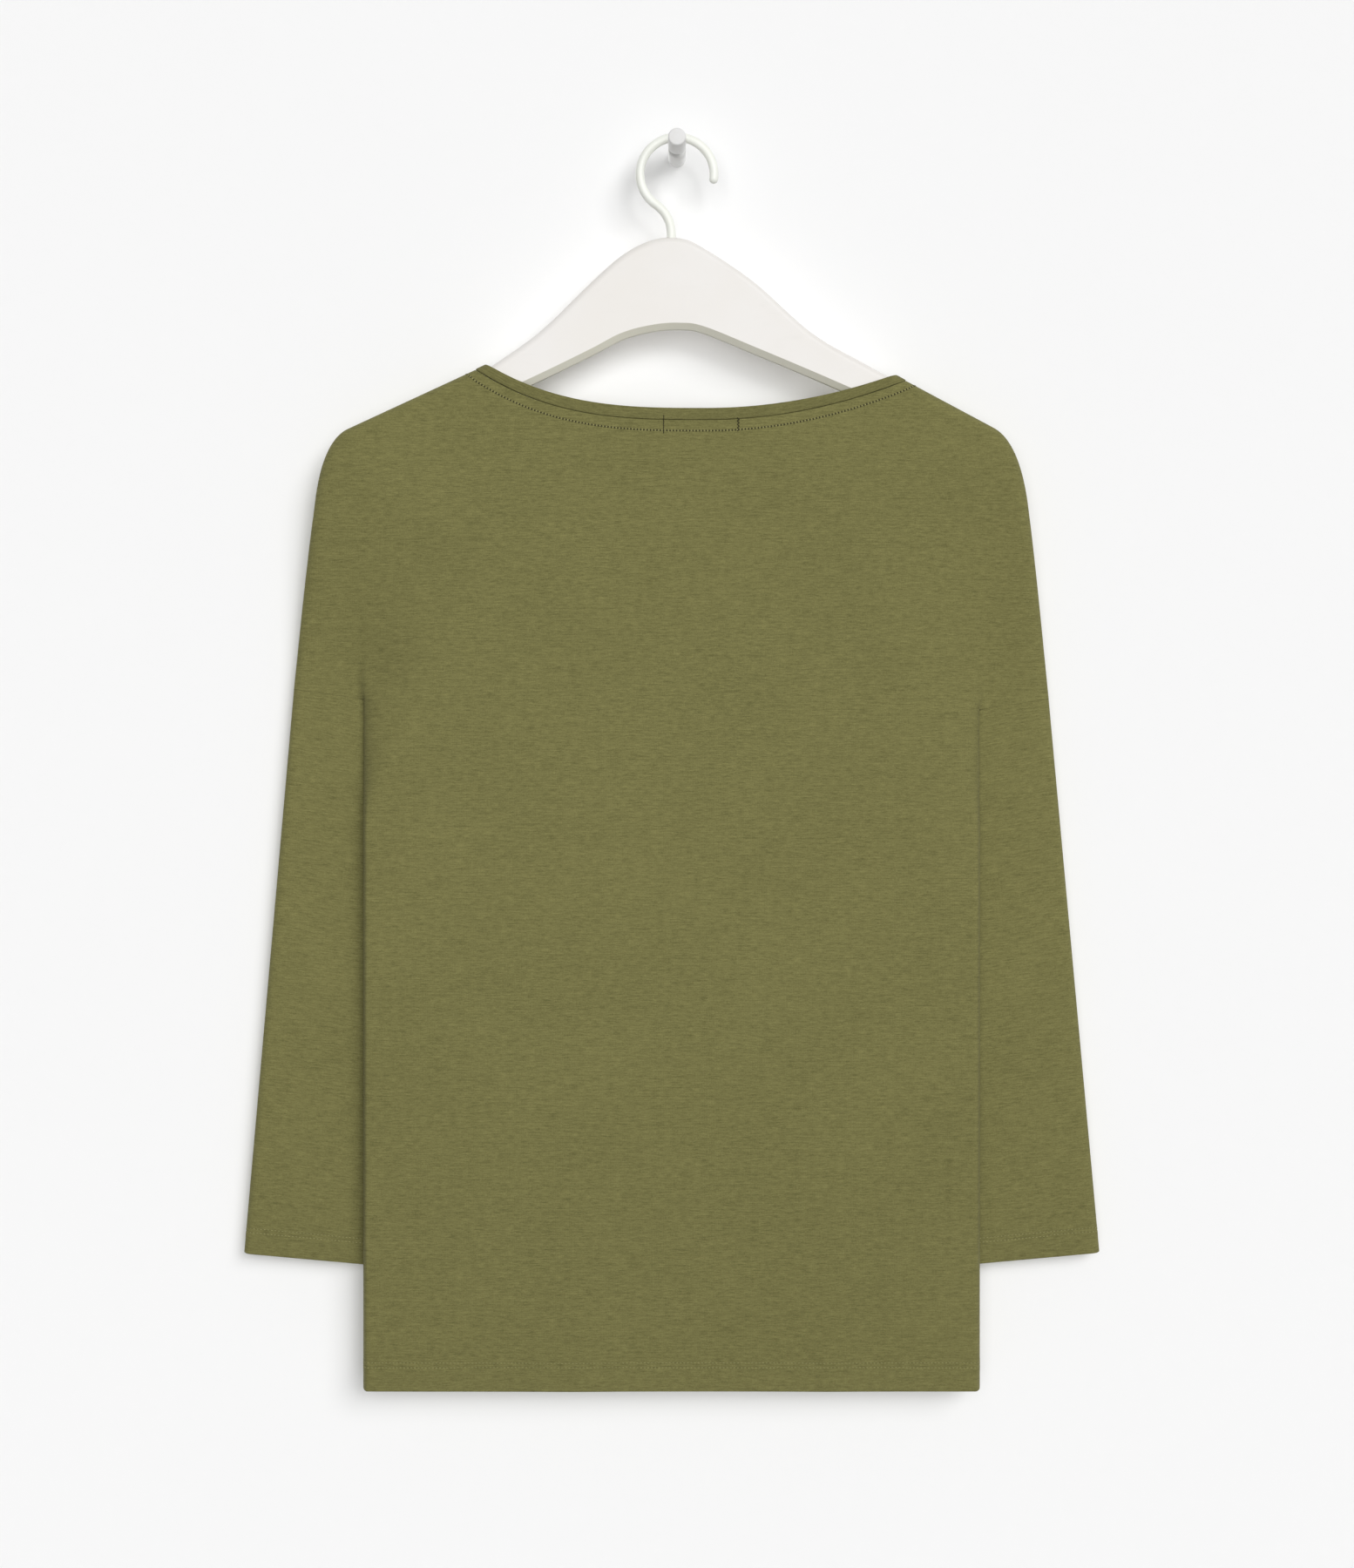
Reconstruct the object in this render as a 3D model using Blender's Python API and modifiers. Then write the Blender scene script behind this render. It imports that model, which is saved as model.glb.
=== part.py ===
"""A fine jersey top with long sleeves, hung on a moulded hanger whose hook rests on a wall peg.

Metres, +Z up. The origin is the top of the hook's inner curve, where it rests on the peg. The wall
is at +Y, and the garment's back faces -Y.
"""

import math
from collections import namedtuple

import bmesh
import bpy
from mathutils import Vector

# The cloth
WALL = 0.0012
BAND_WALL = 0.0018
SEAM_GAP = 0.0003
EDGE_GAP = 0.0003  # each panel's middle surface ends this far short of a seam on the outline
BACK_Y = -0.007
FRONT_Y = 0.007
HEM_Z = -0.8051
MERGE_DISTANCE = 1e-6
BODY_MIDDLE_X = -0.0035
ROW_MIDDLE_Z = -0.382

# The neck
NECK_LOW_X = 0.0185
BACK_NECK_Z = -0.1734
FRONT_NECK_Z = -0.2014
BAND_WIDTH = 0.0073
BAND_FOOT_GAP = 0.0006  # on the shoulders, where the band bends over the hanger

# How the upper arm falls back towards the wall below the hanger's tips
FALL_TOP_Z = -0.200
FALL_HEIGHT = 0.154
ARM_Y = 0.0148
SHOULDER_HALF = 0.007
ARM_HALF = 0.0050
ROUNDING = 0.0075

# The back panel's turn into the upper arm: a tight roll at the underarm, a slope higher up
TURN = 0.008
TURN_AT_ROW = 0.036  # the turn is this wide at the armhole row, and narrows below it
TURN_SETTLES = 0.080
TURN_END_Y = 0.0072
TURN_HEIGHT = 0.100
ROLL_HEIGHT = 0.045  # the roll has opened into the slope this far above the armhole row
SLOPE_IN = 0.080
SLOPE_OUT = 0.036
LIFT_WIDTH = 0.007

# The fold of the front panel behind the body, deepest at the underarm
FOLD_HEIGHT = 0.125
NOSE_IN_BODY = 0.0015
NOSE_RADIUS = 0.0014
HEEL_RADIUS = 0.00255
LEAST_HEEL = 0.0008

# The sleeves
SLEEVE_WIDTH = 0.168
CUFF_WIDTH = 0.1245
CUFF_SLOPE = 0.090
SLEEVE_ROUNDING = 0.005
SLEEVE_CLEAR_Y = 0.0099
INNER_EASE = 0.0006  # the sleeve's seam drops this much more where the fold's heel leans over it
INNER_EASE_POWER = 6
SLEEVE_GAP = 0.0004
CUFF_Y = 0.0146
CUFF_HALF = 0.0048

Side = namedtuple(
    "Side",
    "name sign neck shoulder pull arm armhole body_x row_slope cuff back_power front_power",
)
SIDES = (
    Side(
        name="left",
        sign=-1,
        neck=(-0.1232, -0.1447),
        shoulder=(-0.2121, -0.1858),
        pull=(-0.2286, -0.1933),
        arm=(-0.2338, -0.2345),
        armhole=(-0.2494, -0.3534),
        body_x=-0.2027,
        row_slope=0.139,
        cuff=(-0.2817, -0.7198),
        back_power=3.0,
        front_power=2.4,
    ),
    Side(
        name="right",
        sign=1,
        neck=(0.1412, -0.1515),
        shoulder=(0.2042, -0.1852),
        pull=(0.2205, -0.1939),
        arm=(0.2265, -0.2345),
        armhole=(0.2420, -0.3597),
        body_x=0.1957,
        row_slope=0.151,
        cuff=(0.2749, -0.7193),
        back_power=2.0,
        front_power=2.2,
    ),
)

# Shares of the way down the outline where the shoulder ends and the upper arm starts
SHOULDER_SHARE = 0.27
CURVE_SHARE = 0.64
ARM_BOW = 0.0015
UPPER_ROWS = 11
BODY_ROWS = (0.0, 0.02, 0.07, 0.13, 0.2, 0.36, 0.52, 0.68, 0.84, 1.0)
SLEEVE_ROWS = (0.0, 0.03, 0.1, 0.2, 0.36, 0.52, 0.68, 0.84, 1.0)
SLEEVE_SETTLES = 0.12
EDGE_STEPS = (0.0075, 0.004, 0.0015, 0.0003, 0.0)
BACK_SHARES = (0.0, 0.17, 0.34, 0.51, 0.67, 0.8, 0.91)
BACK_ROLL_ANGLES = (0, 22, 44, 66, 90)
BACK_ARM_STEPS = (0.001, 0.003, 0.007, 0.014, 0.025)

# The hanger
HANGER_HALF = 0.0052
HANGER_BEVEL = 0.0032
HANGER_DROP = 0.0031  # from the garment's shoulder line down to the arm's top edge
ARM_TIP_INSET = 0.0075
ARM_HEIGHT_AT_NECK = 0.020
ARM_HEIGHT_AT_TIP = 0.015
ARM_SHARES = (0.06, 0.5, 0.93)
ARM_TIP_ANGLES = (60, 30, 0, -30, -60)
ARM_STRETCH_STEPS = 3
SHARP_DEGREES = 35
HangerStation = namedtuple("HangerStation", "x top low")
HANGER_MIDDLE = (
    HangerStation(-0.1100, -0.1388, -0.1643),
    HangerStation(-0.0863, -0.1211, -0.1537),
    HangerStation(-0.0538, -0.0897, -0.1378),
    HangerStation(-0.0342, -0.0729, -0.1277),
    HangerStation(-0.0150, -0.0636, -0.1227),
    HangerStation(0.0020, -0.0628, -0.1215),
    HangerStation(0.0168, -0.0689, -0.1238),
    HangerStation(0.0498, -0.0911, -0.1372),
    HangerStation(0.0869, -0.1239, -0.1528),
    HangerStation(0.1216, -0.1441, -0.1678),
)

# The hook
WIRE_RADIUS = 0.0029
HOOK_RADIUS = 0.0239
HOOK_TIP_ANGLE = -8
HOOK_NECK_ANGLE = 235
STEM_X = -0.0037
STEM_TOP_Z = -0.060
STEM_FOOT_Z = -0.0705
SOCKET_RADIUS = 0.0032
STEM_BEND = 0.008
SOCKET_CUT_LENGTH = 0.030
SOCKET_SEGMENTS = 16
HOOK_STEPS = 22
STEM_STEPS = 7
HookNose = namedtuple("HookNose", "reach size")
HOOK_NOSE = (HookNose(0.0026, 0.35), HookNose(0.0021, 0.68), HookNose(0.0010, 0.93))

# The peg
PEG_RADIUS = 0.0057
PEG_NECK_RADIUS = 0.0035
PEG_TIP_Y = -0.026
PEG_WALL_Y = 0.027
GROOVE_HALF = 0.0032
PEG_ROUNDING = 0.0009
PEG_ROUND_MIDDLE = 0.3
PEG_STEPS = 32

OLIVE = (0.184, 0.174, 0.066)
OLIVE_BAND = (0.165, 0.157, 0.060)
HANGER_WHITE = (0.88, 0.86, 0.82)
WIRE_WHITE = (0.86, 0.87, 0.83)
PEG_WHITE = (0.82, 0.82, 0.81)


def clear_scene():
    for item in list(bpy.data.objects):
        bpy.data.objects.remove(item, do_unlink=True)


def make_collection(name):
    collection = bpy.data.collections.new(name)
    bpy.context.scene.collection.children.link(collection)
    return collection


def make_material(name, colour, roughness):
    material = bpy.data.materials.new(name)
    material.use_nodes = True
    shader = material.node_tree.nodes["Principled BSDF"]
    shader.inputs["Base Color"].default_value = (*colour, 1.0)
    shader.inputs["Roughness"].default_value = roughness
    shader.inputs["Metallic"].default_value = 0.0
    return material


def add_object(name, mesh, material, collection):
    item = bpy.data.objects.new(name, mesh)
    collection.objects.link(item)
    mesh.materials.append(material)
    mesh.shade_smooth()
    return item


def between(a, b, share):
    return a + (b - a) * share


def limited(value):
    return min(max(value, 0.0), 1.0)


def eased(value):
    value = limited(value)
    return value * value * (3.0 - 2.0 * value)


def rounded(distance, radius):
    """How far a rounded edge has reached its full depth, from 0 at the edge to 1."""
    left = 1.0 - limited(distance / radius)
    return math.sqrt(1.0 - left * left)


def bent(start, pull, end, share):
    """A point of the quadratic curve from start to end that leans towards pull."""
    rest = 1.0 - share
    return tuple(
        rest * rest * a + 2.0 * rest * share * b + share * share * c
        for a, b, c in zip(start, pull, end)
    )


def down_shoulder(side, distance):
    """The point of the shoulder line at a distance from the neck."""
    along = Vector(side.shoulder) - Vector(side.neck)
    return tuple(Vector(side.neck) + along.normalized() * distance)


def panel_foot(side):
    """Where the panels' neck edge meets the shoulder line."""
    return down_shoulder(side, BAND_WIDTH + BAND_FOOT_GAP)


def outline(side, share):
    """The garment's outer edge, from the neckband's seam (0) down to the armhole seam (1)."""
    if share <= SHOULDER_SHARE:
        foot = panel_foot(side)
        part = share / SHOULDER_SHARE
        return tuple(between(a, b, part) for a, b in zip(foot, side.shoulder))
    if share <= CURVE_SHARE:
        part = (share - SHOULDER_SHARE) / (CURVE_SHARE - SHOULDER_SHARE)
        return bent(side.shoulder, side.pull, side.arm, part)
    part = (share - CURVE_SHARE) / (1.0 - CURVE_SHARE)
    middle = (
        between(side.arm[0], side.armhole[0], 0.5) + side.sign * ARM_BOW,
        between(side.arm[1], side.armhole[1], 0.5),
    )
    return bent(side.arm, middle, side.armhole, part)


OUTLINE_POINTS = 96
OUTLINES = {
    side.name: [Vector(side.neck)]
    + [Vector(outline(side, i / OUTLINE_POINTS)) for i in range(OUTLINE_POINTS + 1)]
    for side in SIDES
}


def from_outline(side, x, z):
    """The distance from a point of a panel to the garment's outer edge."""
    point = Vector((x, z))
    points = OUTLINES[side.name]
    nearest = math.inf
    for start, end in zip(points, points[1:]):
        run = end - start
        share = limited((point - start).dot(run) / run.length_squared)
        nearest = min(nearest, (point - start - run * share).length)
    return nearest


def fall(z):
    return eased((FALL_TOP_Z - z) / FALL_HEIGHT)


def ridge_y(z):
    """The depth of the garment's outer edge at a height."""
    return ARM_Y * fall(z)


def half_depth(z):
    return between(SHOULDER_HALF, ARM_HALF, fall(z))


def fold_in_x(side):
    return side.armhole[0] - side.sign * SLEEVE_WIDTH


def row_z(side, x):
    """The height of the armhole seam, which runs on across the body as the row below the shoulders."""
    inner_x = fold_in_x(side)
    inner_z = side.armhole[1] - side.row_slope * SLEEVE_WIDTH
    if side.sign * x >= side.sign * inner_x:
        return side.armhole[1] - side.row_slope * abs(side.armhole[0] - x)
    share = (x - BODY_MIDDLE_X) / (inner_x - BODY_MIDDLE_X)
    return between(ROW_MIDDLE_Z, inner_z, eased(share))


def neck_z(low_z, end_z, power, share):
    return low_z + (end_z - low_z) * share**power


def panel_point(side, low_z, power, across, down):
    """A point of the upper half panel in X and Z. across runs from the middle to the outer edge."""
    edge_x, edge_z = outline(side, down)
    middle_x = between(NECK_LOW_X, BODY_MIDDLE_X, down)
    x = between(middle_x, edge_x, across)
    seam_low = low_z - BAND_WIDTH - SEAM_GAP
    middle_z = between(seam_low, ROW_MIDDLE_Z, down)
    foot_z = panel_foot(side)[1]
    top = neck_z(seam_low, foot_z, power, across)
    top_bow = top - between(seam_low, foot_z, across)
    low = row_z(side, between(BODY_MIDDLE_X, side.armhole[0], across))
    low_bow = low - between(ROW_MIDDLE_Z, side.armhole[1], across)
    z = between(middle_z, edge_z, across) + (1.0 - down) * top_bow + down * low_bow
    return x, z


def back_level(side, x, z, height):
    """The back panel's depth before its outer edge rounds off, at a height above the armhole row."""
    out = side.sign * (x - side.body_x)
    wide = limited(height / TURN_HEIGHT)
    turn = between(TURN_AT_ROW, TURN, eased(-height / TURN_SETTLES))
    start = between(-turn, -SLOPE_IN, wide)
    end = between(0.0, SLOPE_OUT, wide)
    share = limited((out - start) / (end - start))
    tight = 1.0 - eased(height / ROLL_HEIGHT)
    roll = 1.0 - math.sqrt(1.0 - share * share)
    step = between(eased(share), roll, tight)
    arm = ridge_y(z) - half_depth(z)
    lift = 1.0 - (1.0 - limited(out / LIFT_WIDTH)) ** 3
    goal = between(arm, between(TURN_END_Y, SLEEVE_CLEAR_Y, lift), tight)
    return between(BACK_Y, goal, step)


def back_columns(side):
    """Shares across the back half panel, closer together at the underarm and at the outer edge."""
    whole = side.sign * (side.armhole[0] - BODY_MIDDLE_X)
    body = side.sign * (side.body_x - BODY_MIDDLE_X)
    flat = [(body - TURN) * share for share in BACK_SHARES]
    roll = [body - TURN * (1.0 - math.sin(math.radians(a))) for a in BACK_ROLL_ANGLES]
    arm = [body + out for out in BACK_ARM_STEPS]
    edge = [whole - step for step in EDGE_STEPS]
    return [at / whole for at in flat + roll + arm + edge], len(flat + roll)


def shaped_grid(columns, rows, place):
    """A grid of (columns x rows) points moved to place(column, row), with touching points merged."""
    work = bmesh.new()
    bmesh.ops.create_grid(work, x_segments=columns - 1, y_segments=rows - 1, size=1.0)
    for vertex in work.verts:
        column = round((vertex.co.x + 1.0) / 2.0 * (columns - 1))
        row = round((1.0 - vertex.co.y) / 2.0 * (rows - 1))
        vertex.co = place(column, row)
    bmesh.ops.remove_doubles(work, verts=work.verts, dist=MERGE_DISTANCE)
    return work


def joined(pieces):
    """The bmeshes of one surface as a single one, with the points they share merged."""
    whole = bmesh.new()
    for piece in pieces:
        mesh = bpy.data.meshes.new("stretch")
        piece.to_mesh(mesh)
        piece.free()
        whole.from_mesh(mesh)
        bpy.data.meshes.remove(mesh)
    bmesh.ops.remove_doubles(whole, verts=whole.verts, dist=MERGE_DISTANCE)
    return whole


def cloth_object(name, surface, thickness, material, collection):
    mesh = bpy.data.meshes.new(name)
    surface.to_mesh(mesh)
    surface.free()
    item = add_object(name, mesh, material, collection)
    wall = item.modifiers.new("wall", "SOLIDIFY")
    wall.thickness = thickness
    wall.offset = 0.0
    wall.use_even_offset = True
    return item


def back_panel_half(side, order):
    """The upper and lower grids of one half of the back."""
    shares, body_count = back_columns(side)

    def upper(column, row):
        down = row / UPPER_ROWS
        x, z = panel_point(side, BACK_NECK_Z, side.back_power, shares[column], down)
        level = back_level(side, x, z, max(z - row_z(side, x), 0.0) if row < UPPER_ROWS else 0.0)
        full = rounded(from_outline(side, x, z), ROUNDING)
        edge = ridge_y(z) - EDGE_GAP
        return Vector((x, between(edge, level, full), z))

    def lower(column, row):
        top = upper(column, UPPER_ROWS)
        z = between(top.z, HEM_Z, BODY_ROWS[row])
        return Vector((top.x, back_level(side, top.x, z, z - top.z), z))

    return [
        shaped_grid(len(shares), UPPER_ROWS + 1, lambda c, r: upper(order(c, len(shares)), r)),
        shaped_grid(body_count, len(BODY_ROWS), lambda c, r: lower(order(c, body_count), r)),
    ]


def column_order(side):
    """The +X half counts its columns outwards and the -X half inwards, so all faces point one way."""
    if side.sign > 0:
        return lambda column, count: column
    return lambda column, count: count - 1 - column


def back_surface():
    pieces = []
    for side in SIDES:
        pieces += back_panel_half(side, column_order(side))
    return joined(pieces)


BODY_SHARES = (0.0, 0.19, 0.38, 0.57, 0.75, 0.89, 1.0)
NOSE_ANGLES = (-45, 0, 45, 90)
PLY_SHARES = (0.25, 0.5, 0.75, 1.0)
HEEL_ANGLES = (45, 90, 135, 180)
OUTER_SHARES = (0.17, 0.36, 0.54, 0.70, 0.84)
EVEN_SHARES = (
    (0.0, 0.1, 0.2, 0.3, 0.4, 0.48, 0.54)
    + (0.56, 0.58, 0.60, 0.62)
    + (0.65, 0.68, 0.71, 0.74)
    + (0.76, 0.78, 0.80, 0.82)
    + (0.845, 0.87, 0.895, 0.92, 0.945)
)
RAMP_START = 0.54
RAMP_END = 0.82
UNDERARM_COLUMN = len(BODY_SHARES) + 1  # the tip of the fold's nose
FOLD_COLUMNS = len(BODY_SHARES) + len(NOSE_ANGLES) + len(PLY_SHARES) + len(HEEL_ANGLES)


def folded_section(side, middle_x, edge_x, outer_y):
    """(x, y) across the front half panel at the armhole row: body, nose, ply, heel and upper arm."""
    nose_x = side.body_x - side.sign * (NOSE_IN_BODY + NOSE_RADIUS)
    ply_y = FRONT_Y + 2.0 * NOSE_RADIUS
    heel = max(min(HEEL_RADIUS, (outer_y - ply_y) / 2.0), LEAST_HEEL)
    heel_x = fold_in_x(side) + side.sign * heel
    heel_y = outer_y - 2.0 * heel
    points = [(between(middle_x, nose_x, share), FRONT_Y) for share in BODY_SHARES]
    for angle in NOSE_ANGLES:
        turn = math.radians(angle)
        points.append(
            (
                nose_x + side.sign * NOSE_RADIUS * math.cos(turn),
                FRONT_Y + NOSE_RADIUS * (1.0 + math.sin(turn)),
            )
        )
    for share in PLY_SHARES:
        points.append((between(nose_x, heel_x, share), between(ply_y, heel_y, share)))
    for angle in HEEL_ANGLES:
        turn = math.radians(angle)
        points.append(
            (
                heel_x - side.sign * heel * math.sin(turn),
                heel_y + heel * (1.0 - math.cos(turn)),
            )
        )
    reach = edge_x - side.sign * EDGE_STEPS[0]
    for share in OUTER_SHARES:
        points.append((between(heel_x, reach, share), outer_y))
    for step in EDGE_STEPS:
        points.append((edge_x - side.sign * step, outer_y))
    return points


def even_section(side, middle_x, edge_x, outer_y):
    """(x, y) across the front half panel where it has no fold, with the same number of points."""
    points = []
    for share in EVEN_SHARES:
        ramp = eased((share - RAMP_START) / (RAMP_END - RAMP_START))
        points.append((between(middle_x, edge_x, share), between(FRONT_Y, outer_y, ramp)))
    whole = abs(side.armhole[0] - BODY_MIDDLE_X)
    for step in EDGE_STEPS:
        points.append((between(middle_x, edge_x, 1.0 - step / whole), outer_y))
    return points


def front_upper_point(side, column, row):
    down = row / UPPER_ROWS
    edge_x, edge_z = outline(side, down)
    middle_x = between(NECK_LOW_X, BODY_MIDDLE_X, down)
    outer_y = ridge_y(edge_z) + half_depth(edge_z)
    folded = folded_section(side, middle_x, edge_x, outer_y)[column]
    even = even_section(side, middle_x, edge_x, outer_y)[column]
    height = edge_z - side.armhole[1]
    depth = 1.0 - eased(height / FOLD_HEIGHT)
    x = between(even[0], folded[0], depth)
    across = (x - middle_x) / (edge_x - middle_x)
    z = panel_point(side, FRONT_NECK_Z, side.front_power, across, down)[1]
    level = between(even[1], folded[1], depth)
    if column < FOLD_COLUMNS and depth > 0.0:
        return Vector((x, level, z))
    full = rounded(from_outline(side, x, z), ROUNDING)
    return Vector((x, between(ridge_y(z) + EDGE_GAP, level, full), z))


def front_panel_half(side, order):
    count = len(EVEN_SHARES) + len(EDGE_STEPS)
    body_count = UNDERARM_COLUMN + 1

    def lower(column, row):
        top = front_upper_point(side, column, UPPER_ROWS)
        level = top.y if row == 0 else FRONT_Y
        return Vector((top.x, level, between(top.z, HEM_Z, BODY_ROWS[row])))

    return [
        shaped_grid(
            count,
            UPPER_ROWS + 1,
            lambda c, r: front_upper_point(side, order(c, count), r),
        ),
        shaped_grid(body_count, len(BODY_ROWS), lambda c, r: lower(order(c, body_count), r)),
    ]


def front_surface():
    pieces = []
    for side in SIDES:
        pieces += front_panel_half(side, column_order(side))
    return joined(pieces)


def armhole_loop(side):
    """(share of the sleeve's width, depth, which layer) round the armhole, from the outer edge,
    along the back panel to the underarm, then along the front panel's fold and back out."""
    shares, body_count = back_columns(side)
    loop = []
    for share in reversed(shares[body_count - 1 :]):
        x = between(BODY_MIDDLE_X, side.armhole[0], share)
        level = back_level(side, x, side.armhole[1], 0.0)
        loop.append((x, level, -1))
    front = folded_section(side, BODY_MIDDLE_X, side.armhole[0], ARM_Y + ARM_HALF)
    heel_tip = UNDERARM_COLUMN + 2 + len(PLY_SHARES) + 2
    for number, (x, level) in enumerate(front[:-1]):
        if number >= UNDERARM_COLUMN:
            loop.append((x, level, -1 if number < heel_tip else 1))
    return loop


def sleeve_surface(side):
    """A flattened tube from the armhole seam down to the cuff, rolled at both its edges."""
    loop = armhole_loop(side)

    def place(column, row):
        x_top, level, layer = loop[column % len(loop)]
        share = abs(side.armhole[0] - x_top) / SLEEVE_WIDTH
        down = SLEEVE_ROWS[row]
        edge_x = between(side.armhole[0], side.cuff[0], down)
        edge_z = between(side.armhole[1] - SLEEVE_GAP, side.cuff[1], down)
        width = between(SLEEVE_WIDTH, CUFF_WIDTH, down)
        reach = share * width
        x = edge_x - side.sign * reach
        ease = INNER_EASE * share**INNER_EASE_POWER * (1.0 - down)
        z = edge_z - ease - between(side.row_slope, CUFF_SLOPE, down) * reach
        middle_y = between(ARM_Y, CUFF_Y, down)
        half = between(ARM_HALF, CUFF_HALF, down)
        full = rounded(min(reach, width - reach), SLEEVE_ROUNDING)
        even_y = middle_y + layer * half * full
        if layer < 0 and reach > ROUNDING:
            level = max(level, SLEEVE_CLEAR_Y)
        edge = rounded(reach, ROUNDING) if reach < ROUNDING else 1.0
        top_y = between(ARM_Y, level, edge)
        return Vector((x, between(top_y, even_y, eased(down / SLEEVE_SETTLES)), z))

    return shaped_grid(len(loop) + 1, len(SLEEVE_ROWS), place)


BAND_STEPS = (0.0, 0.22, 0.42, 0.6, 0.75, 0.86)
BAND_EDGE = (0.0085, 0.005, 0.0022, 0.0006, 0.0)
BAND_ROWS = 3


def band_ring():
    """(side, share to the shoulder, layer) round the neck: across the back, then across the front."""
    left, right = SIDES
    ring = []
    for layer in (-1, 1):
        halves = []
        for side in (left, right):
            whole = abs(side.neck[0] - NECK_LOW_X)
            shares = list(BAND_STEPS) + [1.0 - step / whole for step in BAND_EDGE]
            halves.append([(side, share, layer) for share in shares])
        across = halves[0][:0:-1] + halves[1][:-1]
        ring += across if layer < 0 else [(right, 1.0, 1)] + across[:0:-1] + [(left, 1.0, 1)]
    return ring[:-1]


def band_surface():
    ring = band_ring()

    def place(column, row):
        side, share, layer = ring[column % len(ring)]
        low_z = BACK_NECK_Z if layer < 0 else FRONT_NECK_Z
        power = side.back_power if layer < 0 else side.front_power
        width = row / (BAND_ROWS - 1)
        foot = down_shoulder(side, BAND_WIDTH)
        end_x = between(side.neck[0], foot[0], width)
        end_z = between(side.neck[1], foot[1], width)
        start_z = low_z - BAND_WIDTH * width
        x = between(NECK_LOW_X, end_x, share)
        z = neck_z(start_z, end_z, power, share)
        depth = layer * SHOULDER_HALF * rounded(from_outline(side, x, z), ROUNDING)
        return Vector((x, depth, z))

    return shaped_grid(len(ring) + 1, BAND_ROWS, place)


def smooth_run(points, steps):
    """Points of a smooth curve through the given ones, steps to each stretch."""
    run = []
    for i in range(len(points) - 1):
        before = points[max(i - 1, 0)]
        after = points[min(i + 2, len(points) - 1)]
        for step in range(steps):
            t = step / steps
            run.append(
                tuple(
                    b
                    + 0.5 * t * (c - a)
                    + t * t * (a - 2.5 * b + 2.0 * c - 0.5 * d)
                    + t * t * t * (-0.5 * a + 1.5 * b - 1.5 * c + 0.5 * d)
                    for a, b, c, d in zip(before, points[i], points[i + 1], after)
                )
            )
    return run + [points[-1]]


def arm_stations(side):
    """The hanger's arm inside the shoulder, from the neck to the tip, parallel to the shoulder line."""
    run = Vector(side.shoulder) - Vector(side.neck)
    stations = []
    for share in ARM_SHARES:
        x, z = Vector(side.neck) + run * share
        out = (share - ARM_SHARES[0]) / (ARM_SHARES[-1] - ARM_SHARES[0])
        arm = between(ARM_HEIGHT_AT_NECK, ARM_HEIGHT_AT_TIP, out)
        stations.append(HangerStation(x, z - HANGER_DROP, z - HANGER_DROP - arm))
    return stations


def hanger_outline():
    left, right = SIDES
    stations = arm_stations(left)[::-1] + list(HANGER_MIDDLE) + arm_stations(right)
    top = smooth_run([(s.x, s.top) for s in stations], ARM_STRETCH_STEPS)
    low = smooth_run([(s.x, s.low) for s in stations], ARM_STRETCH_STEPS)
    ends = []
    for station, side in ((stations[-1], right), (stations[0], left)):
        middle = (station.top + station.low) / 2.0
        half = (station.top - station.low) / 2.0
        turns = ARM_TIP_ANGLES if side is right else ARM_TIP_ANGLES[::-1]
        ends.append(
            [
                (
                    station.x + side.sign * ARM_TIP_INSET * math.cos(math.radians(a)),
                    middle + half * math.sin(math.radians(a)),
                )
                for a in turns
            ]
        )
    return top + ends[0] + low[::-1] + ends[1]


def hanger_body(material, collection, cutters):
    work = bmesh.new()
    corners = [work.verts.new((x, -HANGER_HALF, z)) for x, z in hanger_outline()]
    face = work.faces.new(corners)
    grown = bmesh.ops.extrude_face_region(work, geom=[face])["geom"]
    moved = [item for item in grown if isinstance(item, bmesh.types.BMVert)]
    bmesh.ops.translate(work, verts=moved, vec=(0.0, 2.0 * HANGER_HALF, 0.0))
    rims = [e for e in work.edges if abs(e.verts[0].co.y - e.verts[1].co.y) < HANGER_HALF]
    bmesh.ops.bevel(
        work,
        geom=rims,
        offset=HANGER_BEVEL,
        affect="EDGES",
        segments=2,
        profile=0.5,
        material=-1,
    )
    bmesh.ops.recalc_face_normals(work, faces=work.faces)
    mesh = bpy.data.meshes.new("hanger_body")
    work.to_mesh(mesh)
    work.free()
    item = add_object("hanger_body", mesh, material, collection)
    mesh.set_sharp_from_angle(angle=math.radians(SHARP_DEGREES))
    socket = item.modifiers.new("hook_socket", "BOOLEAN")
    socket.operation = "DIFFERENCE"
    socket.object = socket_cutter(cutters)
    return item


def socket_cutter(collection):
    """The blind hole in the hanger's top that the hook's stem sits in."""
    work = bmesh.new()
    bmesh.ops.create_cone(
        work,
        cap_ends=True,
        segments=SOCKET_SEGMENTS,
        radius1=SOCKET_RADIUS,
        radius2=SOCKET_RADIUS,
        depth=SOCKET_CUT_LENGTH,
    )
    mesh = bpy.data.meshes.new("socket_cutter")
    work.to_mesh(mesh)
    work.free()
    item = bpy.data.objects.new("socket_cutter", mesh)
    collection.objects.link(item)
    item.location = (STEM_X, 0.0, STEM_FOOT_Z - SEAM_GAP + SOCKET_CUT_LENGTH / 2.0)
    item.hide_render = True
    item.display_type = "WIRE"
    return item


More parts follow.
